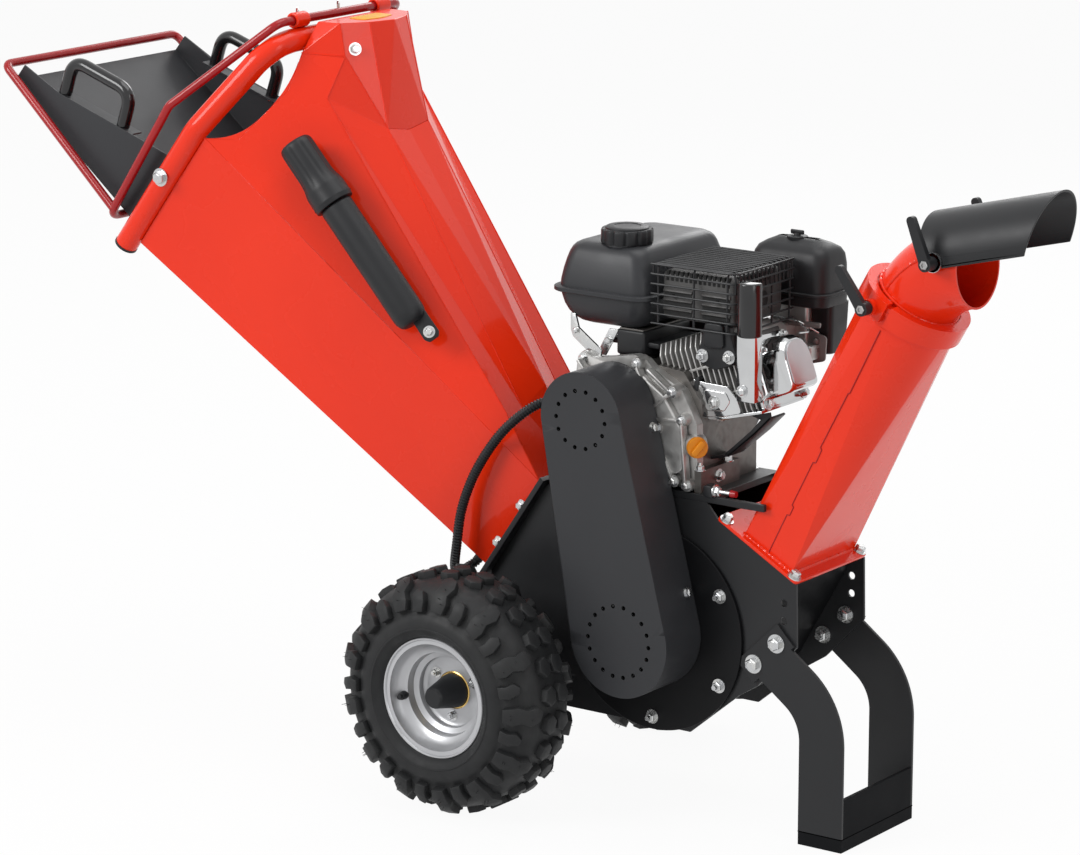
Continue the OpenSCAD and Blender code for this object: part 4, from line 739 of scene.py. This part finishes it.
# Crankcase cover: flange with bolt ears, a raised dome and ribs
FLANGE_LINE = [(104, 486), (96, 560), (95, 630), (98, 652), (110, 658), (124, 651), (150, 655), (196, 664),
               (214, 660), (226, 649), (262, 631), (276, 624), (294, 592), (302, 576), (303, 520), (300, 488),
               (280, 484)]
DOME_LINE = [(112, 500), (108, 620), (150, 640), (214, 640), (252, 616), (284, 570), (288, 505)]
EARS = ((107, 648, -84), (206, 654.5, -95), (266, 621, -95), (284, 583.5, -97), (244, 568, -99),
        (271, 494, -96), (292, 490, -95), (297, 540, -88))
RIBS = (((206, 654), (232, 600)), ((266, 621), (236, 596)), ((284, 583), (240, 580)),
        ((271, 494), (238, 560)), ((292, 490), (284, 583)), ((107, 648), (132, 618)), ((226, 649), (266, 621)))
cast = bmesh.new()
prism(cast, soft_corners(FLANGE_LINE, 9), side(-83), 15, 1.6, 3)
prism(cast, soft_corners(DOME_LINE, 18), side(-95), 13, 3.5, 4)
for x, z, y in EARS:
    rod(cast, (x, -74, z), (x, y + 1.5, z), 10.5, 8.6, sides=28)
for start, end in RIBS:
    a = Vector(start)
    b = Vector(end)
    across = 2.4 * Vector((b.y - a.y, a.x - b.x)).normalized()
    prism(cast, [tuple(p) for p in (a + across, b + across, b - across, a - across)], side(-99.5), 14, 1.1)
neck = offset(285, -68, 547) @ facing((0.707107, -0.707107, 0))
turned(cast, [(0, 10), (19, 10), (15, 22), (14.4, 26.6), (13.2, 28), (0, 28)], neck, 40)
piece("ribbed_cover", cast, "cast_aluminium", "frame", ["crankcase_cover"], crease=40)
filler = bmesh.new()
turned(filler, [(0, 18), (7.9, 18), (7.9, 28.4), (14, 28.4), (15, 29.4), (15, 35.6), (14, 37.2), (0, 37.6)],
       neck, 44)
prism(filler, soft_corners([(-12.5, -4.6), (12.5, -4.6), (12.5, 4.6), (-12.5, 4.6)], 4.5),
      neck @ Matrix.Rotation(radians(96), 4, "Z") @ offset(0, 0, 37), 6.6, 1.6, 3)
piece("tabbed_oil_cap", filler, "orange_plastic", "filler_cap", ["oil_cap"])

# Cylinder: a core darkened as painted shade between the fins, and fins that keep bright edges and end under
# the muffler
core = bmesh.new()
block(core, (60, -38, -42), (216, 38, 50), 3)
block(core, (120, -46, -30), (206, 46, 30), 3)
core.transform(CYL)
# The core takes the dark heated-steel finish as painted shade between the fins
piece("cylinder_core_painted_shade", core, "cast_aluminium", "frame", coat="muffler_steel")
FIN_CEILING = 714
fins = bmesh.new()
for k in range(17):
    x = 68 + 9 * k
    top = min(70, (FIN_CEILING - 586 - 0.342 * (x + 3)) / 0.94)
    low = -58 if x > 126 else -40
    line = [(-50, low), (-55, low + 6), (-55, top - 16), (-45, top)]
    prism(fins, line + [(-y, z) for y, z in line[::-1]], CYL @ front(x), 2.6, 0.9)
for y in (-54.5, 51):
    for z in (-24, 20):
        prism(fins, [(y, z), (y + 3.5, z), (y + 3.5, z + 4), (y, z + 4)], CYL @ front(72), 136, 0.8)
piece("cooling_fins", fins, "cast_aluminium", "frame", ["engine_cylinder"])

# Valve cover: flange, bright arched body and a paler outer face
ARCH = [(-39, -46), (39, -46), (39, 4), (35, 20), (26, 31), (12, 37), (-12, 37), (-26, 31), (-35, 20),
        (-39, 4)]
valve = bmesh.new()
prism(valve, soft_corners([(-56, -58), (56, -58), (56, -44), (44, -38), (44, 30), (30, 44), (-30, 44),
                           (-44, 30), (-44, -38), (-56, -44)], 6), CYL @ front(212), 6, 1.2)
outline = soft_corners(ARCH, 10)
VALVE_LEVELS = ((217, 1.0, 0), (243, 0.965, 1), (251, 0.93, 1.5), (256, 0.87, 2), (258, 0.80, 2.4))
loft(valve, [[(x, draw * a, draw * b - 1.2 * drop) for a, b in outline]
             for x, draw, drop in VALVE_LEVELS], CYL)
piece("valve_dome", valve, "bright_metal", "frame", ["valve_cover"], crease=30)
panel = bmesh.new()
prism(panel, soft_corners([(0.74 * a, 0.74 * b - 2) for a, b in ARCH], 9), CYL @ front(257), 3.2, 1.4, 3)
piece("valve_panel", panel, "bright_metal", "frame", coat="rim_silver")
valve_bolts = bmesh.new()
for y in (-46, 46):
    bolt(valve_bolts, CYL @ Vector((218, y, -51)), CYL_OUT, 11, 7)
for y in (-37, 37):
    bolt(valve_bolts, CYL @ Vector((218, y, 36)), CYL_OUT, 9, 6)
piece("valve_bolts", valve_bolts, "zinc", "frame")

# Bright lower shroud with its pressed ring, and the black sheet under it
shroud = bmesh.new()
prism(shroud, soft_corners([(277, 637), (300, 634), (338, 633), (354, 617), (362, 598), (330, 588),
                            (297, 585), (288, 602)], 5), side(-62), 3, 1.0)
prism(shroud, [(297, 585), (330, 588), (363, 598), (396, 606), (396, 602), (364, 593.5), (331, 583.5),
               (298, 580.5)], side(-62), 110, 1.0)
prism(shroud, soft_corners([(300, 626), (336, 625), (344, 612), (334, 597), (306, 594), (296, 606)], 7),
      side(-64.4), 4, 2.0, 3)
piece("chrome_shroud", shroud, "bright_metal", "frame")
under = bmesh.new()
prism(under, [(366, 592), (398, 601), (400, 592), (374, 566), (330, 528), (322, 530), (366, 570), (382, 588)],
      side(-44), 3, 0.8)
prism(under, [(298, 519), (330, 528), (374, 566), (400, 592), (397, 594), (372, 569), (329, 531), (298, 523)],
      side(-44), 38, 0.6)
prism(under, [(286, 640), (280, 616), (298, 584), (303, 586), (287, 616), (293, 640)], side(-64), 24, 1.2)
piece("under_sheet", under, "black_paint", "frame")

# Muffler with louvres behind its wire guard
LOUVRES = [(column, 727 + 13 * row) for column in (234, 298) for row in range(3)]
muffler = bmesh.new()
block(muffler, (228, -66, 718), (352, 60, 788), 10, 4)
for x, z in LOUVRES:
    prism(muffler, [(-66.2, z + 4), (-68.6, z + 6), (-66.2, z + 10)], front(x - 1), 48, 0.4)
for y in (-40, -10, 20):
    prism(muffler, [(y, 733), (y + 20, 733), (y + 20, 736), (y, 736)], front(351), 3, 0.6)
piece("louvred_muffler", muffler, "muffler_steel", "frame", ["muffler"])
# Near-black strips in the louvres and slots, and a near-black disc on the front, as painted shade of the
# openings
slot_shade = bmesh.new()
for x, z in LOUVRES:
    block(slot_shade, (x, -66.8, z - 1), (x + 46, -64, z + 4), 0.5, 1)
for k in range(14):
    block(slot_shade, (237 + 7.8 * k, -66.8, 774), (241.5 + 7.8 * k, -60, 788.3), 0.4, 1)
for k in range(10):
    block(slot_shade, (344, 9.5 * k - 52, 774), (352.6, 9.5 * k - 47, 788.3), 0.4, 1)
rod(slot_shade, (351, 4, 748), (353, 4, 748), 13, sides=40)
piece("louvre_slot_shade", slot_shade, "muffler_steel", "frame", coat="belt_rubber")
exhaust = bmesh.new()
prism(exhaust, soft_corners([(288, 672), (298, 661), (320, 655), (345, 663), (357, 678), (351, 692),
                             (342, 722), (303, 722), (296, 692)], 9), side(-68), 14, 2.4, 3)
prism(exhaust, soft_corners([(303, 686), (338, 688), (336, 724), (306, 724)], 8), side(-74), 10, 3.0, 3)
piece("exhaust_casting", exhaust, "muffler_steel", "frame", coat="black_paint")
exhaust_bolts = bmesh.new()
for x, z in ((300.5, 674), (345, 677)):
    bolt(exhaust_bolts, (x, -68, z), NEAR, 12, 8, tip=3)
bolt(exhaust_bolts, (318, -64.4, 608), NEAR, 12, 5)
bolt(exhaust_bolts, (373, -77, 634), NEAR, 11, 6)
piece("exhaust_bolts", exhaust_bolts, "zinc", "frame")
stay = bmesh.new()
prism(stay, [(363, -77), (393, -77), (393, -58), (390.5, -58), (390.5, -74.5), (365.5, -74.5), (365.5, -58),
             (363, -58)], offset(0, 0, 619), 96, 0.9)
block(stay, (366, -76, 640), (391, -50, 643), 0.6, 2)
piece("chrome_stay", stay, "bright_metal", "frame")
sleeve = bmesh.new()
arc = [(381 + 17.5 * cos(radians(a)), -72 + 18 * sin(radians(a))) for a in range(180, 361, 12)]
prism(sleeve, arc + [(398.5, -66), (363.5, -66)], offset(0, 0, 712), 77, 3.0, 3, limit=50)
piece("stay_sleeve", sleeve, "grip_vinyl", "frame")

# Wire guard: levels round two sides, and close wires over the top that turn down at both ends
guard = []
for level in range(7):
    z = 712.5 + 14.1 * level
    guard.append(rounded([(219, -77.5, z), (360.5, -77.5, z), (360.5, 70.5, z)], 13))
for k in range(14):
    y = -74.5 + 11.1 * k
    guard.append(rounded([(221, y, 782), (221, y, 798.4), (358.5, y, 798.4), (358.5, y, 768)], 9, steps=4))
for x in (230, 290, 346):
    guard.append(rounded([(x, -75.8, 712), (x, -75.8, 796.4), (x, 70.5, 796.4)], 9, steps=4))
for y in (-60, 18, 64):
    guard.append([(358.6, y, 712), (358.6, y, 790)])
for x in (250, 324):
    guard.append([(x, -77, 754), (x, -64, 754)])
bars("wire_guard", guard, 1.55, "black_paint", "frame", ["muffler_guard"], sides=2)

# Air cleaner with a hipped lid, a recess and its wing knob, and the intake below it
KNOB = offset(337, 117, 0)
cleaner = bmesh.new()
soft_box(cleaner, (276, 78), (406, 158), [(726, 3), (728, 1), (740, 0.5), (784, 1.5), (798, 3.5), (806, 8),
                                          (812, 17), (816.5, 27), (818, 30), (818.4, 33)], 20)
soft_box(cleaner, (272, 74), (409, 161), [(742, 1), (743, 0), (746, 0), (747, 1)], 22)
soft_box(cleaner, (366, 104), (404, 156), [(656, 5), (658, 3), (700, 1), (728, 0)], 9)
turned(cleaner, [(0, 816), (15, 816), (15, 819.6), (13.4, 820.4), (0, 820.4)], KNOB, 40)
turned(cleaner, [(0, 820), (5.5, 820), (4.5, 824), (0, 824.5)], KNOB, 24)
block(cleaner, (326, 115, 822), (348, 119, 828.5), 1.8, 3)
piece("hipped_cleaner", cleaner, "black_plastic", "frame", ["air_cleaner"], crease=45)

# Carburettor with its bowl, and the linkage plates and rods
BOWL = offset(352, 100, 0)
carb = bmesh.new()
block(carb, (304, 56, 674), (350, 96, 702), 4, 3)
block(carb, (306, 94, 668), (370, 132, 728), 5, 3)
block(carb, (352, 76, 650), (388, 108, 672), 4, 3)
turned(carb, [(0, 606), (14, 606), (18, 610), (19, 618), (19, 644), (16, 650), (0, 650)], BOWL, 40)
turned(carb, [(0, 598), (6, 598), (6, 606), (0, 606)], BOWL, 6)
piece("carburettor_body", carb, "cast_aluminium", "frame", ["carburettor"])
link = bmesh.new()
prism(link, soft_corners([(368, 640), (398, 648), (400, 684), (372, 690), (362, 664)], 7), side(98), 3, 0.7)
prism(link, soft_corners([(330, 698), (402, 700), (404, 708), (330, 706)], 3), side(76), 3, 0.7)
rod(link, (384, 92, 664), (384, 112, 664), 5)
rod(link, (376, 70, 652), (376, 100, 652), 4)
bolt(link, (384, 98, 676), NEAR, 8, 5)
piece("linkage_plates", link, "cast_aluminium", "frame", coat="bracket_steel")
bars("linkage_rods", [rounded([(300, 74, 712), (372, 74, 706), (392, 90, 690)], 12),
                      rounded([(372, 66, 708), (402, 50, 700), (404, 20, 704)], 14)], 1.3, "zinc", "frame")

# Fan housing and recoil cover on the far side
LUG_TURNS = [radians(120 * k + 40) for k in range(3)]
recoil = bmesh.new()
far = Matrix.Translation(CRANK) @ Matrix.Rotation(radians(-90), 4, "X")
turned(recoil, [(0, 120), (80, 120), (80, 158), (78, 164), (70, 172), (66, 176.5), (60, 178), (26, 178),
                (22, 176), (20, 174), (0, 174)], far, 72)
for k in range(15):
    prism(recoil, soft_corners([(34, -3.2), (57, -4.6), (57, 4.6), (34, 3.2)], 2.5),
          far @ Matrix.Rotation(radians(24 * k), 4, "Z") @ offset(0, 0, 177), 2.2, 0.7)
for turn in LUG_TURNS:
    prism(recoil, soft_corners([(70, -12), (92, -9), (97, 0), (92, 9), (70, 12)], 6),
          far @ Matrix.Rotation(turn, 4, "Z") @ offset(0, 0, 131), 9, 2, 3)
piece("recoil_cover", recoil, "black_paint", "frame")
recoil_bolts = bmesh.new()
for turn in LUG_TURNS:
    bolt(recoil_bolts, far @ Vector((88 * cos(turn), 88 * sin(turn), 140)), FAR, 10, 6)
piece("recoil_bolts", recoil_bolts, "zinc", "frame")

# Tool tube: a fluted cap with a wide collar, a plain tube and an eyelet
TOOL_TOP = Vector((-343, -175.1, 926))
TOOL_END = Vector((-141, -152.55, 679))
TOOL = Matrix.Translation(TOOL_TOP) @ facing(TOOL_END - TOOL_TOP)
SIDE_OUT = Vector((0.4475, -0.8461, 0.2887))
EYELET = Vector((-119.5, -146, 668))
TOOL_LEVELS = ((0.2, 17, 0), (1.2, 21.5, 0), (3.5, 24, 0), (7, 25.2, 0.3), (13, 25.7, 1.5), (50, 25.9, 1.7),
               (60, 26, 1.2), (70, 27.2, 0.5), (78, 29.4, 0.2), (83, 30.4, 0), (101, 30.6, 0),
               (102.5, 31.0, 0), (104, 31.0, 0), (105.5, 30.2, 0), (109, 30.0, 0), (110, 29.2, 0))
tool_cap = bmesh.new()
loft(tool_cap, fluted(TOOL_LEVELS, 96, 8, 2), TOOL)
piece("fluted_tool_cap", tool_cap, "black_plastic", "tool_cap", ["tool_tube_cap"], crease=40)
tube = bmesh.new()
turned(tube, [(0, 112), (23.6, 112), (24.6, 113), (24.9, 116), (24.9, 300), (24.2, 308), (21, 315.5),
              (16, 319), (0, 319.8)], TOOL, 56)
down = (TOOL_END - TOOL_TOP).normalized()
wide = SIDE_OUT.cross(down).normalized()
flat = Matrix.Translation(EYELET) @ Matrix((wide, down, SIDE_OUT)).transposed().to_4x4()
prism(tube, soft_corners([(-12, -34), (12, -34), (12.5, 6), (8, 13), (-8, 13), (-12.5, 6)], 5), flat, 5, 1.0)
for along in (150, 300):
    seat = TOOL @ Vector((0, 0, along))
    rod(tube, seat - 22 * SIDE_OUT, seat - 36.2 * SIDE_OUT, 9)
piece("plain_tool_tube", tube, "black_plastic", "frame", ["tool_tube"], crease=40)

# Split pins in the bar sleeves, and a plain pad on the head
pins = []
for y in (-96, 0, 96):
    pins.append(rounded([(-397, y - 1.2, 1088), (-397, y - 1.8, 1105), (-393, y - 6, 1110.5)], 4))
    pins.append(rounded([(-397, y + 1.2, 1088), (-397, y + 1.8, 1105), (-401, y + 5, 1110)], 4))
bars("split_pins", pins, 1.3, "zinc", "feed_stop", sides=2)
pad = bmesh.new()
prism(pad, soft_corners([(-352, -34), (-322, -34), (-316, -8), (-316, 8), (-322, 34), (-352, 34)], 6),
      offset(0, 0, 1089.4), 1.6, 0.5)
piece("plain_pad", pad, "red_paint", "frame", coat="yellow_pad")


# Weld beads where the tube meets the sheets, and where the sheets meet each other

def bead(name, runs, radius, body, seed):
    """A weld bead: a thin bar of uneven thickness, sunk in its seam."""
    uneven = random.Random(seed)
    lines = [even_steps([Vector(p) for p in run], 2.2) for run in runs]
    bars(name, lines, radius, "red_paint", body, sides=2,
         ripple=[uneven.uniform(0.72, 1.18) for k in range(61)])


hopper_beads = []
for s in (-1, 1):
    hopper_beads.append([(-613, s * 204, 757), (-484.7, s * 204, 923.2)])
    hopper_beads.append([(-56, s * 91, 318.5), (38, s * 91, 456)])
    hopper_beads.append([(-410, s * 150, 1044), (-396, s * 118, 1050), (-380, s * 100, 1052)])
bead("hopper_beads", hopper_beads, 2.2, "frame", 3)

# Folds of the hopper catch the light, and the corners of its side openings are rounded
FOLDS = [[(-484.7, 208, 923.2), (38.4, 91, 455.3)], [(-334, 108.2, 982), (-21.6, 91, 548.3)],
         [(-268, 48, 936), (-24, 50, 551)], [(-304, 44, 1090), (-268, 48, 936)],
         [(-330, 81, 1090), (-321, 80.9, 1042), (-268, 48, 936)], [(-321, 80.9, 1042), (-334, 108.2, 982)],
         [(-379, 110.2, 1046), (-321, 80.9, 1042)]]
OPENING = ((-484.7, 208, 923.2), (-440, 184.8, 922), (-387, 132.5, 993), (-379, 110.2, 1046))
CORNER_REACH = 44
SHEET = 2.6
folds = []
fillets = bmesh.new()
for s in (-1, 1):
    folds += [[Vector((x, s * y, z)) for x, y, z in fold] for fold in FOLDS]
    opening = [Vector((x, s * y, z)) for x, y, z in OPENING]
    for k in (1, 2):
        corner = opening[k]
        first = (opening[k - 1] - corner).normalized()
        second = (opening[k + 1] - corner).normalized()
        out = first.cross(second).normalized()
        if out.y * s < 0:
            out = -out
        other = out.cross(first)
        place = Matrix.Translation(corner - SHEET * out) @ Matrix((first, other, out)).transposed().to_4x4()
        turn = Vector((second.dot(first), second.dot(other)))
        start = Vector((CORNER_REACH, 0))
        stop = CORNER_REACH * turn
        curve = [((1 - t) ** 2 * start + t ** 2 * stop) for t in (j / 10 for j in range(11))]
        outline = [(-1.2 * (1 + turn.x), -1.2 * turn.y)] + [(c.x, c.y) for c in curve]
        prism(fillets, outline, place, SHEET, 0.3)
bars("fold_lines", folds, 0.9, "red_paint", "frame", sides=2)
piece("opening_corners", fillets, "red_paint", "frame", crease=20)

# Chute: a folded square-to-round duct on a flange plate, with a seam up its near face
DUCT = offset(408.851, 0, 411.939) @ Matrix.Rotation(radians(29.4), 4, "Y")
DUCT_UP = DUCT.to_3x3() @ Vector(UP)
CHUTE_TOP = 392
NECK_X = -8
NECK_R = 69.4
BASE_X = (-32, 58)
BASE_Y = 82
PLATE = 5
chute = bmesh.new()
prism(chute, soft_corners([(-75.7, -93.5), (75.7, -93.5), (75.7, 93.5), (-75.7, 93.5)], 7), DUCT, PLATE, 0.9)
corners = [(BASE_X[1], BASE_Y), (BASE_X[0], BASE_Y), (BASE_X[0], -BASE_Y), (BASE_X[1], -BASE_Y)]
duct = bmesh.new()
low = [duct.verts.new((x, y, 4.5)) for x, y in corners]
arcs = []
for turn, count in enumerate((14, 8, 3, 14)):
    row = []
    for k in range(count + 1):
        a = radians(90 * turn + 9 + 72 * k / count)
        row.append(duct.verts.new((NECK_X + NECK_R * cos(a), NECK_R * sin(a), CHUTE_TOP)))
    arcs.append(row)
for turn in range(4):
    row = arcs[turn]
    for k in range(len(row) - 1):
        duct.faces.new((low[turn], row[k + 1], row[k]))
    after = (turn + 1) % 4
    duct.faces.new((low[turn], low[after], arcs[after][0], row[-1]))
ends = [duct.faces.new([v for row in arcs for v in row]), duct.faces.new(low[::-1])]
outward(duct)
bmesh.ops.delete(duct, geom=ends, context="FACES_ONLY")
bmesh.ops.solidify(duct, geom=duct.faces[:], thickness=3)
round_edges(duct, sharp_edges(duct, 10), 1.1)
duct.transform(DUCT)
merge(chute, duct)
turned(chute, [(66.6, 380), (70, 386), (70, 403.5), (73, 404), (73, 410), (67, 410), (66.6, 380)],
       DUCT @ offset(NECK_X, 0, 0), 72)
piece("folded_chute", chute, "red_paint", "frame", ["chute"], crease=9)


def up_face(share, along):
    """A place on the chute's near flat face: a share of its height, and a step along the face."""
    x = 13 + share * (NECK_X - 13) + along
    y = -BASE_Y + share * (BASE_Y - NECK_R) - 0.3
    return DUCT @ Vector((x, y, PLATE + share * (CHUTE_TOP - PLATE)))


SEAM = ((0.0, 0), (0.17, -1), (0.175, 3.2), (0.21, 3.0), (0.215, -0.6), (0.40, -1), (0.405, 3), (0.46, 2.4),
        (0.465, -1), (0.70, 0), (0.705, 2), (0.97, 1))
bars("chute_seam", [[up_face(share, along) for share, along in SEAM]], 0.75, "red_paint", "frame", sides=2,
     coat="bar_paint")
BASE_WELD = ((-32, -82.6), (58, -82.6), (58.6, -82), (58.6, 82), (58, 82.6), (-32, 82.6),
             (-32.6, 82), (-32.6, -82))
bead("chute_beads", [[DUCT @ Vector((x, y, PLATE)) for x, y in BASE_WELD]], 2.6, "frame", 8)

# Elbow: weld rings and the long welds over its back
ELBOW_MID = Vector((107, 0, 416.4))
BEND_R = 115


def on_elbow(turn, round_by, radius):
    """A place on the elbow's skin: degrees along the bend, and degrees round from its outer side."""
    a = radians(turn)
    b = radians(round_by)
    out = Vector((-cos(a), 0, sin(a)))
    return DUCT @ (ELBOW_MID + (BEND_R + radius * cos(b)) * out + Vector((0, -radius * sin(b), 0)))


elbow_beads = [[on_elbow(t, round_by, 59.2) for t in range(2, 56, 3)] for round_by in (62, -62)]
elbow_beads.append([on_elbow(3.2, b, 60.2) for b in range(0, 361, 6)])
bead("elbow_beads", elbow_beads, 2.3, "swivel_elbow", 5)


# Washers at the deflector's pivots, and socket screws in the levers

def socket_screw(name, at, out, body):
    """A screw head with a hexagon socket."""
    screw = bmesh.new()
    turned(screw, [(0, 0), (6.4, 0), (6.4, 2.2), (5.6, 3), (3.4, 3), (3.4, 1.2), (0, 1.2)],
           Matrix.Translation(at) @ facing(out), 6)
    piece(name, screw, "steel", body)


PIVOT = Vector((668.442, 0, 849.047))
for s, hand in ((-1, "left"), (1, "right")):
    washer = bmesh.new()
    rod(washer, PIVOT + Vector((0, s * 64.9, 0)), PIVOT + Vector((0, s * 69.6, 0)), 13.6, sides=36)
    piece("pivot_washer_" + hand, washer, "zinc", "swivel_elbow")
    socket_screw("lever_screw_" + hand, PIVOT + Vector((0, s * 89.6, 0)), (0, s, 0), "visor_lever_" + hand)
socket_screw("lever_screw_collar", (576.573, -99.6, 778.857), NEAR, "clamp_lever")

# Bolts, nuts and hinge pins: place, direction, width, height and thread end of the single ones
SINGLE_BOLTS = [
    ((312, -42, 498), (1, 0, 0), 12, 7, 0), ((306, -80, 512), UP, 10, 6, 4), ((306, -10, 512), UP, 11, 7, 5),
    ((287, 80, 480), UP, 14, 8, 6), ((325, -80, 480), UP, 10, 6, 0), ((337, -88, 488), (1, 0, 0), 12, 7, 22),
    ((246, -112, 571), (1, 0, 0.22), 10, 6, 0), ((306, -112, 341), (1, 0, 0.22), 10, 6, 0),
    ((-313.3, -67.3, 1052.1), (0.81, -0.57, 0.15), 12, 7, 0), (EYELET + 5 * SIDE_OUT, SIDE_OUT, 11, 5, 0)]
HINGE_X = -555
HINGE_Z = 860
metal = bmesh.new()
for s in (-1, 1):
    for k in range(6):
        turn = radians(30 + 60 * k)
        under_belt_cover = s < 0 and k == 1
        if not under_belt_cover:
            at = ROTOR + Vector((131 * cos(turn), s * 97, 131 * sin(turn)))
            bolt(metal, at, (0, s, 0), 13, 8, tip=5)
    for x, z in ((446.6, 286.3), (409.5, 250.5)):
        bolt(metal, (x, s * 96, z), (0, s, 0), 17, 9)
        bolt(metal, (x, s * 87, z), (0, -s, 0), 16, 9, tip=6)
    rod(metal, (HINGE_X, s * 177, HINGE_Z), (HINGE_X, s * 230, HINGE_Z), 5.9)
    bolt(metal, (HINGE_X, s * 225.7, HINGE_Z), (0, s, 0), 17, 8)
    bolt(metal, (HINGE_X, s * 184, HINGE_Z), (0, -s, 0), 15, 8)
for x, z, y in EARS[:-1]:
    bolt(metal, (x, y + 1, z), NEAR, 9.5, 6)
for x in (-64.7, 64.7):
    for y in (-85.5, 85.5):
        bolt(metal, DUCT @ Vector((x, y, PLATE)), DUCT_UP, 13, 8)
for single in SINGLE_BOLTS:
    bolt(metal, *single)
for x, z in ((3.8, 418), (-38, 357)):
    bolt(metal, (x, -92.3, z), NEAR, 11, 6)
    bolt(metal, (x, 92.3, z), FAR, 11, 6)
piece("bolts_and_nuts", metal, "zinc", "frame", ["fasteners"], crease=30)
tip = bmesh.new()
rod(tip, (363, -88, 488), (372, -88, 488), 5.2, 4.6, sides=20)
piece("stud_tip", tip, "red_paint", "frame", coat="bar_paint")

# Tank saddle with the stud's bracket, and a thin near-black slab in the foot whose edge shows as painted shade
# of a groove along the foot
saddle = bmesh.new()
block(saddle, (147, -59, 655), (195, 59, 692), 4, 3)
block(saddle, (128, -50, 668), (214, 50, 676), 2, 2)
block(saddle, (322, -97, 479.6), (337.2, -78, 496), 1.5, 2)
piece("tank_saddle", saddle, "black_paint", "frame")
groove_shade = bmesh.new()
block(groove_shade, (485.8, -96.2, 18.8), (558.2, 96.2, 19.9))
piece("foot_groove_shade", groove_shade, "black_paint", "frame", coat="painted_hole_shade")

# Vent holes of the belt cover: near-black rings round them as painted shade inside the holes
vent_shade = bmesh.new()
for middle, reach, count in ((CRANK, 0.61 * 68, 14), (ROTOR, 0.63 * 82, 18)):
    for k in range(count):
        turn = 2 * pi * k / count
        at = Vector((middle.x + reach * cos(turn), -184, middle.z + reach * sin(turn)))
        turned(vent_shade, [(1.75, 0), (3.1, 0), (3.1, 0.2), (1.75, 0.2), (1.75, 0)],
               Matrix.Translation(at) @ facing(NEAR), 20)
piece("vent_hole_shade", vent_shade, "black_paint", "frame", coat="painted_hole_shade")

# Floor, light and background
FLOOR_GLOW = 0.94
FILL_LIGHT = 0.42
WHITE = (1, 1, 1, 1)
floor_mesh = bpy.data.meshes.new("floor")
floor_shape = bmesh.new()
bmesh.ops.create_grid(floor_shape, x_segments=2, y_segments=2, size=60)
floor_shape.to_mesh(floor_mesh)
floor_shape.free()
floor = bpy.data.objects.new("floor", floor_mesh)
scene.collection.objects.link(floor)
floor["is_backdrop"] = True


def seen_rays(tree):
    """One where the camera, a mirror or glass looks, and none where light falls."""
    rays = tree.add("LightPath")
    first = tree.add("Math", operation="MAXIMUM")
    tree.join(rays.outputs["Is Camera Ray"], first.inputs[0])
    tree.join(rays.outputs["Is Glossy Ray"], first.inputs[1])
    second = tree.add("Math", operation="MAXIMUM")
    tree.join(first.outputs[0], second.inputs[0])
    tree.join(rays.outputs["Is Transmission Ray"], second.inputs[1])
    return second.outputs[0]


def glowing(tree, kind, strength):
    """A white shader of a strength."""
    node = tree.add(kind)
    node.inputs["Color"].default_value = WHITE
    node.inputs["Strength"].default_value = strength
    return node.outputs[0]


def mixed(tree, share, first, second, output):
    """Shows the second shader for a share and the first for the rest."""
    both = tree.add("MixShader")
    tree.join(share, both.inputs["Fac"])
    tree.join(first, both.inputs[1])
    tree.join(second, both.inputs[2])
    tree.join(both.outputs[0], tree.add(output).inputs["Surface"])


floor_paint = bpy.data.materials.new("pale floor")
floor_paint.use_nodes = True
tree = Nodes(floor_paint.node_tree)
floor_paint.node_tree.nodes.clear()
matt = tree.add("BsdfDiffuse")
matt.inputs["Color"].default_value = (0.80, 0.80, 0.80, 1)
share = tree.add("Math", operation="MULTIPLY")
share.inputs[1].default_value = FLOOR_GLOW
tree.join(seen_rays(tree), share.inputs[0])
mixed(tree, share.outputs[0], matt.outputs[0], glowing(tree, "Emission", 1.0), "OutputMaterial")
floor_mesh.materials.append(floor_paint)

world = bpy.data.worlds.new("studio")
scene.world = world
world.use_nodes = True
tree = Nodes(world.node_tree)
world.node_tree.nodes.clear()
mixed(tree, seen_rays(tree), glowing(tree, "Background", FILL_LIGHT), glowing(tree, "Background", 1.0),
      "OutputWorld")


def softbox(name, place, aim, width, height, power):
    """A large soft studio lamp that points at a place."""
    data = bpy.data.lights.new(name, "AREA")
    data.shape = "RECTANGLE"
    data.size = width
    data.size_y = height
    data.energy = power
    lamp = bpy.data.objects.new(name, data)
    lamp.location = place
    lamp.rotation_euler = (Vector(aim) - Vector(place)).to_track_quat("-Z", "Y").to_euler()
    scene.collection.objects.link(lamp)


softbox("key", (-2.2, -4.4, 3.4), (0, 0, 0.5), 2.6, 2.2, 170)
softbox("top", (0.6, 0.2, 4.4), (0, 0, 0.4), 3.0, 3.0, 75)
softbox("side", (4.6, -1.6, 2.0), (0.2, 0, 0.5), 1.6, 2.4, 28)
softbox("back", (-1.2, 4.2, 3.0), (0, 0, 0.6), 2.4, 2.0, 60)

# The bounds of the shown pieces, leaving out the backdrop
low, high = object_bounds()
